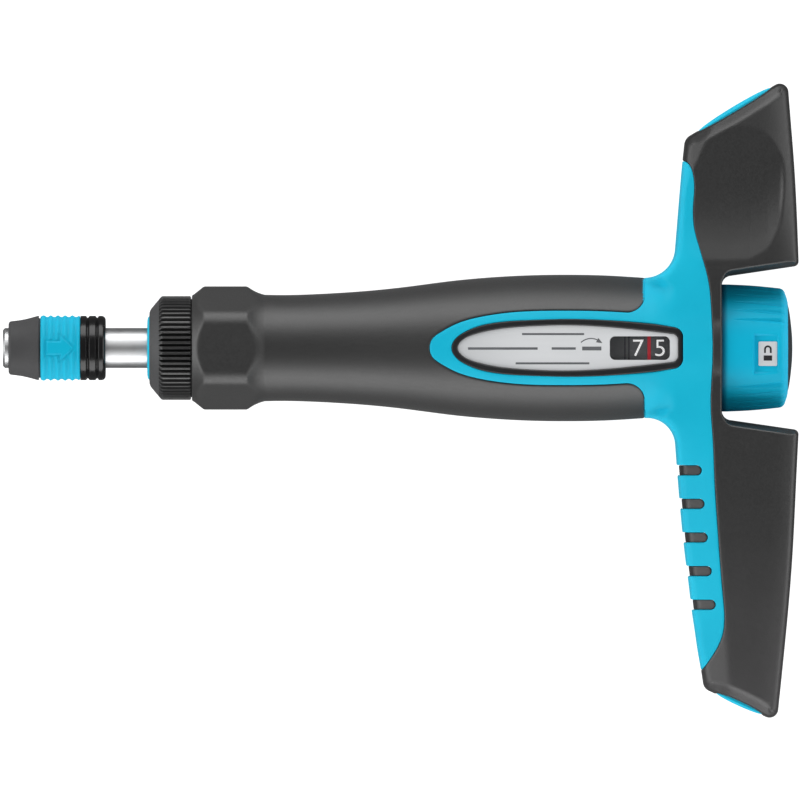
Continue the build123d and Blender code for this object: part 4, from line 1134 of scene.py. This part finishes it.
# plain marks on the plate: a turning arrow, and bars where a label would be
mv, mf = [], []
turn = arc3((144.4, 1.35), (146.7, 2.35), (148.6, 1.95), 0.2)
for line, width in ((turn, 0.26), (resample([(129.7, 3.45), (145.2, 3.45)], 1.0), 0.5), (resample([(128.1, -3.85), (146.5, -3.85)], 1.0), 0.5),
                    (resample([(116.2, -0.15), (133.6, -0.15)], 1.0), 0.6), (resample([(137.1, -0.15), (143.1, -0.15)], 1.0), 0.6), (resample([(144.7, -0.15), (149.5, -0.15)], 1.0), 0.95)):
    v, f = strip(line, width)
    mf += [tuple(i + len(mv) for i in q) for q in f]
    mv += [(x, y, 16.215) for x, y in v]
mf.append(tuple(i + len(mv) for i in (0, 1, 2)))
mv += [(149.75, 1.2, 16.215), (148.75, 2.5, 16.215), (148.15, 1.4, 16.215)]
make_piece("plate_marks", np.array(mv), mf, "print_grey", "handle")


def text_mesh(body_text, size):
    cu = bpy.data.curves.new("figure", "FONT")
    cu.body = body_text
    cu.size = size
    cu.align_x = "CENTER"
    cu.offset = -0.008
    cu.resolution_u = 6
    ob = bpy.data.objects.new("figure", cu)
    scene.collection.objects.link(ob)
    bpy.context.view_layer.update()
    me = bpy.data.meshes.new_from_object(ob.evaluated_get(bpy.context.evaluated_depsgraph_get()))
    v = np.array([q.co for q in me.vertices], float)
    f = [tuple(p.vertices) for p in me.polygons]
    bpy.data.objects.remove(ob)
    bpy.data.meshes.remove(me)
    bpy.data.curves.remove(cu)
    return v, f


def cut_rows(v, f, step):
    """Cuts flat figures into narrow rows, so that they can be bent round a drum."""
    bm = bmesh.new()
    vs = [bm.verts.new(q) for q in v]
    for q in f:
        try:
            bm.faces.new([vs[i] for i in q])
        except ValueError:
            pass
    lo, hi = v[:, 1].min(), v[:, 1].max()
    for y in np.arange(lo + step, hi, step):
        geom = bm.verts[:] + bm.edges[:] + bm.faces[:]
        bmesh.ops.bisect_plane(bm, geom=geom, dist=1e-6, plane_co=(0, float(y), 0), plane_no=(0, 1, 0))
    bm.verts.ensure_lookup_table()
    bm.verts.index_update()
    out_v = np.array([q.co for q in bm.verts], float)
    out_f = [tuple(q.index for q in p.verts) for p in bm.faces]
    bm.free()
    return out_v, out_f


glyph = {}
for ch in "0123456789":
    gv_, gf_ = text_mesh(ch, 1.0)
    lo, hi = gv_.min(0), gv_.max(0)
    gv_ = (gv_ - [(lo[0] + hi[0]) / 2, (lo[1] + hi[1]) / 2, 0])
    height = hi[1] - lo[1]
    glyph[ch] = cut_rows(gv_ / height, gf_, 0.12)

DRUM_R = 13.6
fv, ff = [], []
for k in range(13):
    tenths = 40 + 5 * k
    centre = math.radians(27.0) * (7 - k)
    whole, part = divmod(tenths, 10)
    marks = [(ch, 158.75 - 2.5 * (len(str(whole)) - 1 - i)) for i, ch in enumerate(str(whole))] + [(str(part), 164.15)]
    for ch, cx in marks:
        gv_, gf_ = glyph[ch]
        x = cx + gv_[:, 0] * 4.3
        a = centre + gv_[:, 1] * 4.1 / DRUM_R
        s = len(fv)
        fv += [(x_, (DRUM_R + 0.03) * math.sin(a_), (DRUM_R + 0.03) * math.cos(a_)) for x_, a_ in zip(x, a)]
        ff += [tuple(i + s for i in q) for q in gf_]
make_piece("drum_figures", np.array(fv), ff, "print_pale", "setting")
th = np.linspace(0, 2 * math.pi, 160, endpoint=False)
v = turned([(161.02, DRUM_R - 0.02), (161.02, DRUM_R + 0.035), (161.84, DRUM_R + 0.035), (161.84, DRUM_R - 0.02)], th)
make_piece("drum_red_line", v, grid_faces(4, 160), "print_red", "setting", sharp=30, turn_out=True)
v = np.vstack([turned([(x, DRUM_R - 0.02), (x, DRUM_R + 0.03), (x + 0.2, DRUM_R + 0.03), (x + 0.2, DRUM_R - 0.02)], th) for x in (155.3, 156.3)])
make_piece("drum_dark_lines", v, grid_faces(4, 160) + grid_faces(4, 160, start=640), "print_dark", "setting", sharp=30, turn_out=True)

# ---------------------------------------------------------------------------
# Bit holder and front lock
# ---------------------------------------------------------------------------
prof = [(1.45, 5.1), (1.4, 5.85)] + [tuple(q) for q in arc3((1.4, 5.85), (1.62, 6.46), (2.2, 6.72), 0.12)[1:]]
prof += [tuple(q) for q in spline([(2.2, 6.72), (3.6, 6.88), (5.9, 7.29), (7.4, 7.68), (8.7, 8.05)], 0.4)[1:]]
prof += rounded([(8.8, 8.06), (9.0, 7.95), (9.0, 7.45), (9.4, 7.45), (9.4, 7.3), (11.4, 7.3), (11.4, 5.1), (7.5, 5.1), (7.5, 6.3), (3.0, 6.3), (3.0, 5.1), (1.45, 5.1)], 0.1, 0.08)
lathe("sleeve_front", prof, "sleeve_black", "quick_sleeve", ["chuck_sleeve"], 144, 38)
prof = rounded([(11.4, 6.98), (11.4, 7.3), (19.4, 7.3), (19.4, 8.05), (20.75, 8.05), (21.2, 7.5), (21.65, 8.05), (23.1, 8.05), (23.55, 7.5), (24.0, 8.05), (24.6, 8.05)], 0.1, 0.08)
prof += [tuple(q) for q in arc3((24.6, 8.05), (25.35, 7.74), (25.68, 7.1), 0.1)[1:]]
prof += [(25.68, 6.98), (11.4, 6.98)]
lathe("sleeve_rear", prof, "sleeve_rear_black", "quick_sleeve", (), 144, 38)

# ribbed ring with a raised arrow that points to the handle
ns = 360
th = np.linspace(-math.pi, math.pi, ns, endpoint=False)
xs = np.r_[9.4, np.linspace(9.46, 19.29, 120), 19.35]
X, TH = np.meshgrid(xs, th, indexing="ij")
Y = 8.0 * TH
rib_x = np.array([10.25, 11.93, 13.75, 15.55, 17.35, 19.2])
phase = np.interp(X, rib_x, np.arange(6))
ribs = 7.77 + 0.39 * (0.5 + 0.5 * np.cos(2 * math.pi * phase)) ** 1.3
arrow = np.array([(10.85, 1.7), (14.4, 1.7), (14.4, 3.2), (17.75, 0.0), (14.4, -3.2), (14.4, -1.7), (10.85, -1.7), (10.85, 1.7)])
flatp = np.stack([X.ravel(), Y.ravel()], 1)
da, _ = poly_dist(flatp, arrow)
ina = inside(flatp, arrow[:-1])
sd = np.where(ina, -da, da).reshape(X.shape)
field = smooth_step(sd, 0.3, 0.85)
plain = 7.76 + 0.33 * (1 - smooth_step(sd, -0.3, 0.02))
R = ribs * field + plain * (1 - field)
ends = np.minimum(X - 9.4, 19.35 - X)
R = np.minimum(R, 7.72 + np.sqrt(np.clip(ends, 0, 1) * 1.2) * 0.5)
rows = [(9.42, 7.34)] + [(x, R[i]) for i, x in enumerate(xs)] + [(19.33, 7.34), (9.42, 7.34)]
make_piece("sleeve_ring_ribbed", turned(rows, th), grid_faces(len(rows), ns), "ring_turquoise", "quick_sleeve", ["sleeve_grip_ring"], 50, True)

# lock ring with a straight knurl
nk = 60 * 14
th = np.linspace(0, 2 * math.pi, nk, endpoint=False)
ph = (th / (2 * math.pi / 60)) % 1.0
groove = 13.0 - 0.95 * np.clip(1 - np.abs(ph - 0.5) / 0.31, 0, 1) ** 0.8
prof = rounded([(39.03, 12.2), (39.6, 12.86), (39.95, 13.0), (46.7, 13.0), (47.0, 12.8), (47.0, 9.75)], [0, 0.3, 0.3, 0.25, 0.15, 0], 0.08)
dense = []
for (x0, r0), (x1, r1) in zip(prof, prof[1:]):
    m_ = max(1, int(round(math.hypot(x1 - x0, r1 - r0) / 0.28)))
    for i in range(m_):
        dense.append((x0 + (x1 - x0) * i / m_, r0 + (r1 - r0) * i / m_))
dense.append(prof[-1])
rows = [(x, smooth_min(np.full(nk, r), groove, 0.05) if r > 12.22 else np.full(nk, r)) for x, r in dense]
rows += [(x, np.full(nk, r)) for x, r in ((40.0, 9.72), (40.0, 9.0))]
make_piece("lock_ring_knurled", turned(rows, th), grid_faces(len(rows), nk), "ring_black", "lock_ring", ["lock_ring"], 48, True)
# front bevel of the lock ring, in the lighter copy of its black: painted light
prof = rounded([(38.06, 7.28), (38.06, 8.12), (36.8, 8.12), (36.6, 8.35), (36.64, 8.95), (36.9, 9.62), (37.2, 10.02), (38.12, 11.13), (39.03, 12.2)], [0, 0, 0.1, 0.15, 0.3, 0.4, 0.8, 2.0, 0], 0.08)
prof = [(40.0, 9.0), (40.0, 7.28)] + prof
lathe("lock_ring_face", prof, "ring_face", "lock_ring", (), 180, 40)

prof = [(36.45, 5.32), (36.06, 5.6)] + [tuple(q) for q in spline([(36.06, 5.6), (36.08, 6.6), (36.16, 7.25), (36.38, 7.8), (36.65, 8.0)], 0.12)[1:]] + [(38.0, 8.0), (38.0, 5.3), (36.45, 5.32)]
lathe("nose_disc", prof, "turquoise_plastic", "lock_slider", ["nose_flange"], 128, 40)

# ---------------------------------------------------------------------------
# Knob
# ---------------------------------------------------------------------------
TURN = math.radians(-5.85)
outer = rounded([(178.2, 14.6), (178.2, 15.9), (181.0, 15.9)], [0, 0.35, 0], 0.1)
outer += [tuple(q) for q in spline([(181.0, 15.9), (187.2, 15.6), (194.0, 14.95)], 0.3)[1:]]
outer += [tuple(q) for q in arc3((194.0, 14.95), (195.0, 14.5), (195.5, 13.6), 0.15)[1:]]
outer += [tuple(q) for q in spline([(195.5, 13.6), (195.95, 12.3), (196.15, 11.4)], 0.2)[1:]]
pitch = math.radians(295.0 / 29)
starts = np.array([math.radians(32.5) + i * pitch for i in range(30)])
base = np.linspace(-math.pi, math.pi, 720, endpoint=False)
extra = []
for yy in (4.8, 3.05):
    for s in (1, -1):
        a = s * math.asin(yy / 15.3)
        extra += [a - 0.004, a, a + 0.004]
th = np.unique(np.round(np.r_[base, extra], 6))
rel = np.where(th < 0, th + 2 * math.pi, th)
px0, px1 = 187.6, 193.6
xo = np.array([q[0] for q in outer])
ro = np.array([q[1] for q in outer])
long_x = [i for i in range(len(xo)) if xo[i] > 181.0]
rows = []
seen_edges = False
all_x = []
for i in range(len(outer)):
    all_x.append((xo[i], ro[i]))
for px in (px0, px1):
    for e in (-0.28, -0.15, 0.0, 0.15, 0.28):
        x = px + e
        all_x.append((x, float(np.interp(x, xo[10:-12], ro[10:-12]))))
head = [q for q in all_x if q[0] <= 194.0]
tail = [q for q in all_x if q[0] > 194.0]
head = head[:6] + sorted(head[6:], key=lambda q: q[0])
for x, r in head + tail:
    rr = np.full(len(th), r)
    if x > 182.0:
        g = x - 182.0
        half = np.clip(0.16 + 0.055 * g, 0.05, 0.85)
        deep = np.clip(0.06 + 0.038 * g, 0.0, 0.5) * min(1.0, g / 1.0)
        if x > 194.0:
            deep = deep * max(0.0, (r - 12.6) / 2.4)
        a = np.abs(rel[:, None] - starts[None]).min(1) * r
        rr = rr - deep * np.clip(1 - a / half, 0, 1) ** 0.85
    w_ = smooth_step(np.array(x), px0 - 0.28, px0 + 0.28) * (1 - smooth_step(np.array(x), px1 - 0.28, px1 + 0.28))
    if w_ > 0:
        w_ = w_ * (1 - smooth_step(np.abs(np.where(np.abs(th) < 1.2, 15.3 * np.sin(th), 99)), 4.6, 5.15))
        pocket = 14.12 / np.cos(np.clip(th, -1.2, 1.2))
        rr = rr * (1 - w_) + np.minimum(rr, pocket) * w_
    rows.append((x, rr))
rows += [(195.05, np.full(len(th), 11.38)), (195.05, np.full(len(th), 10.4)), (187.2, np.full(len(th), 10.4))]
rows = [(183.6, np.full(len(th), 12.7)), (183.6, np.full(len(th), 14.6))] + rows
kv = turned([(x, r) for x, r in rows], th + TURN)
make_piece("knob_grip", kv, grid_faces(len(rows), len(th)), "knob_turquoise", "knob", ["knob"], 40, True)

prof = [(195.15, 0.02), (195.12, 11.2), (195.9, 11.27), (196.15, 11.1)] + [tuple(q) for q in spline([(196.15, 11.1), (196.55, 9.2), (196.99, 6.0), (197.26, 3.0), (197.35, 0.02)], 0.4)[1:]]
lathe("knob_cap_dome", prof, "cap_dark", "knob", ["knob_cap"], 128, 40)


def on_symbol(p):
    """Place on the symbol plate (x along the tool, y across, z up from the plate) in the shared frame."""
    p = np.asarray(p, float)
    r = 14.3 + p[:, 2]
    y = p[:, 1] * math.cos(TURN) + r * math.sin(TURN)
    z = -p[:, 1] * math.sin(TURN) + r * math.cos(TURN)
    return np.stack([191.07 + p[:, 0], y, z], 1)


# padlock: body below, bow above
lv, lf = [], []


def put(v, f):
    s = sum(len(q) for q in lv)
    lv.append(np.column_stack([v, np.full(len(v), 0.02)]))
    lf.extend(tuple(i + s for i in q) for q in f)


put(*strip(resample([(-1.05, -1.07), (1.05, -1.07)], 0.3), 1.3))
bow = np.vstack([resample([(-0.72, 0.2), (-0.72, 1.05)], 0.15), arc3((-0.72, 1.05), (0.0, 1.86), (0.72, 1.05), 0.12)[1:], resample([(0.72, 1.05), (0.72, 0.2)], 0.15)[1:]])
put(*strip(bow, 0.46))
make_piece("lock_pictogram", on_symbol(np.vstack(lv)), lf, "print_dark", "knob")

# ---------------------------------------------------------------------------
# Springs: closed end coils
# ---------------------------------------------------------------------------
def coil(x0, x1, radius, wire, turns, around=40, section=12):
    close = 0.9
    lead = wire * 2.1 * close
    t = np.linspace(0, turns, int(turns * around) + 1)
    x = np.interp(t, [0, close, turns - close, turns], [x0, x0 + lead, x1 - lead, x1])
    x[5:-5] = np.convolve(x, np.full(11, 1 / 11), "valid")
    line = np.stack([x, radius * np.cos(2 * math.pi * t), radius * np.sin(2 * math.pi * t)], 1)
    along = np.gradient(line, axis=0)
    along /= np.linalg.norm(along, axis=1)[:, None]
    out = line * [0, 1, 1] / radius
    side = np.cross(along, out)
    th = np.linspace(0, 2 * math.pi, section, endpoint=False)
    rings = line[:, None] + wire * (np.cos(th)[None, :, None] * out[:, None] + np.sin(th)[None, :, None] * side[:, None])
    faces = grid_faces(len(t), section)
    last = (len(t) - 1) * section
    return rings.reshape(-1, 3), faces + [tuple(range(section))] + [tuple(range(last, last + section))]


v, f = coil(80.7, 116.8, 6.55, 1.0, 10.4)
make_piece("main_spring_coil", v, f, "spring_steel", "handle", ["main_spring"], 50, True, ("spring_nut", (0.0797, 0, 0), (0.1178, 0, 0)))
v, f = coil(11.85, 23.05, 5.95, 0.4, 6.5)
make_piece("chuck_spring_coil", v, f, "spring_steel", "output_shaft", ["chuck_spring"], 50, True, ("quick_sleeve", (0.02345, 0, 0), (0.01145, 0, 0)))

# ---------------------------------------------------------------------------
# CAD nodes that show as they are
# ---------------------------------------------------------------------------
shown = {
    "drive_shaft": "shaft_steel", "bit_magnet": "magnet", "bit_lock_ball": "bright_steel", "sleeve_stop_ring": "spring_steel",
    "chuck_spring": "spring_steel", "chuck_spring_seat": "steel", "seat_snap_ring": "spring_steel", "lock_dog": "steel",
    "lock_circlip": "spring_steel", "ring_o_ring": "o_ring_rubber", "mechanism_tube": "tube_aluminium", "tube_pins": "steel",
    "front_bearing": "bronze", "thrust_washer": "bronze", "clutch_outer_plates": "steel", "clutch_inner_plates": "bronze",
    "pressure_plate": "steel", "main_spring": "spring_steel", "spring_nut": "steel", "setting_spindle": "steel",
    "spindle_thrust_washer": "bronze", "tube_plug": "steel", "scale_drum": "drum_dark", "rear_cover": "inner_black",
    "knob_o_ring": "o_ring_rubber", "knob_washer": "steel", "knob_screw": "steel", "lock_symbol_plate": "plate_metal",
    "scale_plate": "plate_metal", "scale_lens": "clear_window",
}
for name, ob in nodes.items():
    mat = shown.get(name, "inner_black")
    ob.data.materials.clear()
    ob.data.materials.append(M[mat])
    ob.data.polygons.foreach_set("use_smooth", [True] * len(ob.data.polygons))
    ob.data.set_sharp_from_angle(angle=math.radians(30))

# ---------------------------------------------------------------------------
# Floor, light, camera
# ---------------------------------------------------------------------------
floor_z = cad_lo.z - 0.00005
me = bpy.data.meshes.new("floor")
me.from_pydata([(-60, -60, floor_z), (60, -60, floor_z), (60, 60, floor_z), (-60, 60, floor_z)], [], [(0, 1, 2, 3)])
floor = bpy.data.objects.new("floor", me)
scene.collection.objects.link(floor)
fm, nt, b = new_material("floor_pale", Roughness=0.9, Specular_IOR_Level=0.1)
coord = add(nt, "ShaderNodeTexCoord")
cloud = noise_of(nt, coord, 3.0, 2.0)
tone = ramp_of(nt, cloud.outputs["Fac"], [(0.3, (0.24, 0.24, 0.24)), (0.7, (0.26, 0.26, 0.26))])
nt.links.new(tone.outputs["Color"], b.inputs["Base Color"])
b.inputs["Emission Color"].default_value = (1.0, 1.0, 1.0, 1.0)
b.inputs["Emission Strength"].default_value = 1.0
me.materials.append(fm)
floor.visible_glossy = False
floor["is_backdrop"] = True

world = bpy.data.worlds.new("studio")
scene.world = world
world.use_nodes = True
bg = world.node_tree.nodes["Background"]
bg.inputs["Color"].default_value = (1.0, 1.0, 1.0, 1.0)
bg.inputs["Strength"].default_value = 0.11


def softbox(name, at, size, power):
    li = bpy.data.lights.new(name, "AREA")
    li.shape = "RECTANGLE"
    li.size, li.size_y = size
    li.energy = power
    ob = bpy.data.objects.new(name, li)
    scene.collection.objects.link(ob)
    ob.location = at
    aim = Vector((0.1, -0.013, 0.0)) - Vector(at)
    ob.rotation_euler = aim.to_track_quat("-Z", "Y").to_euler()
    return ob


softbox("side_up", (0.10, 1.25, 0.52), (1.9, 1.05), 2.9 * 1.9 * 1.05 * math.pi)
softbox("side_down", (0.10, -1.276, 0.52), (1.9, 1.05), 2.9 * 1.9 * 1.05 * math.pi)
softbox("side_left", (-1.15, -0.01, 0.52), (1.5, 1.05), 2.8 * 1.5 * 1.05 * math.pi)
softbox("side_right", (1.35, -0.01, 0.52), (1.5, 1.05), 2.0 * 1.5 * 1.05 * math.pi)

# two strips that light only the bright shaft
shaft_only = bpy.data.collections.new("shaft_only")
shaft_only.objects.link(nodes["drive_shaft"])
for name, y in (("strip_up", 0.74), ("strip_down", -0.766)):
    ob = softbox(name, (0.10, y, 1.2), (1.9, 0.72), 0.85 * 1.9 * 0.72 * math.pi)
    ob.light_linking.receiver_collection = shaft_only

cam = bpy.data.cameras.new("camera")
cam.type = "PERSP"
cam.sensor_fit = "HORIZONTAL"
cam.sensor_width = 36.0
cam.lens = 1600.0
cam.clip_start, cam.clip_end = 1.0, 40.0
cam_ob = bpy.data.objects.new("camera", cam)
scene.collection.objects.link(cam_ob)
cam_ob.location = (0.09925, -0.0130, 0.2 * 1600.0 / 36.0)
cam_ob.rotation_euler = (0.0, 0.0, 0.0)
scene.camera = cam_ob
scene.view_settings.view_transform = "Standard"
scene.view_settings.look = "None"

lo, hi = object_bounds()
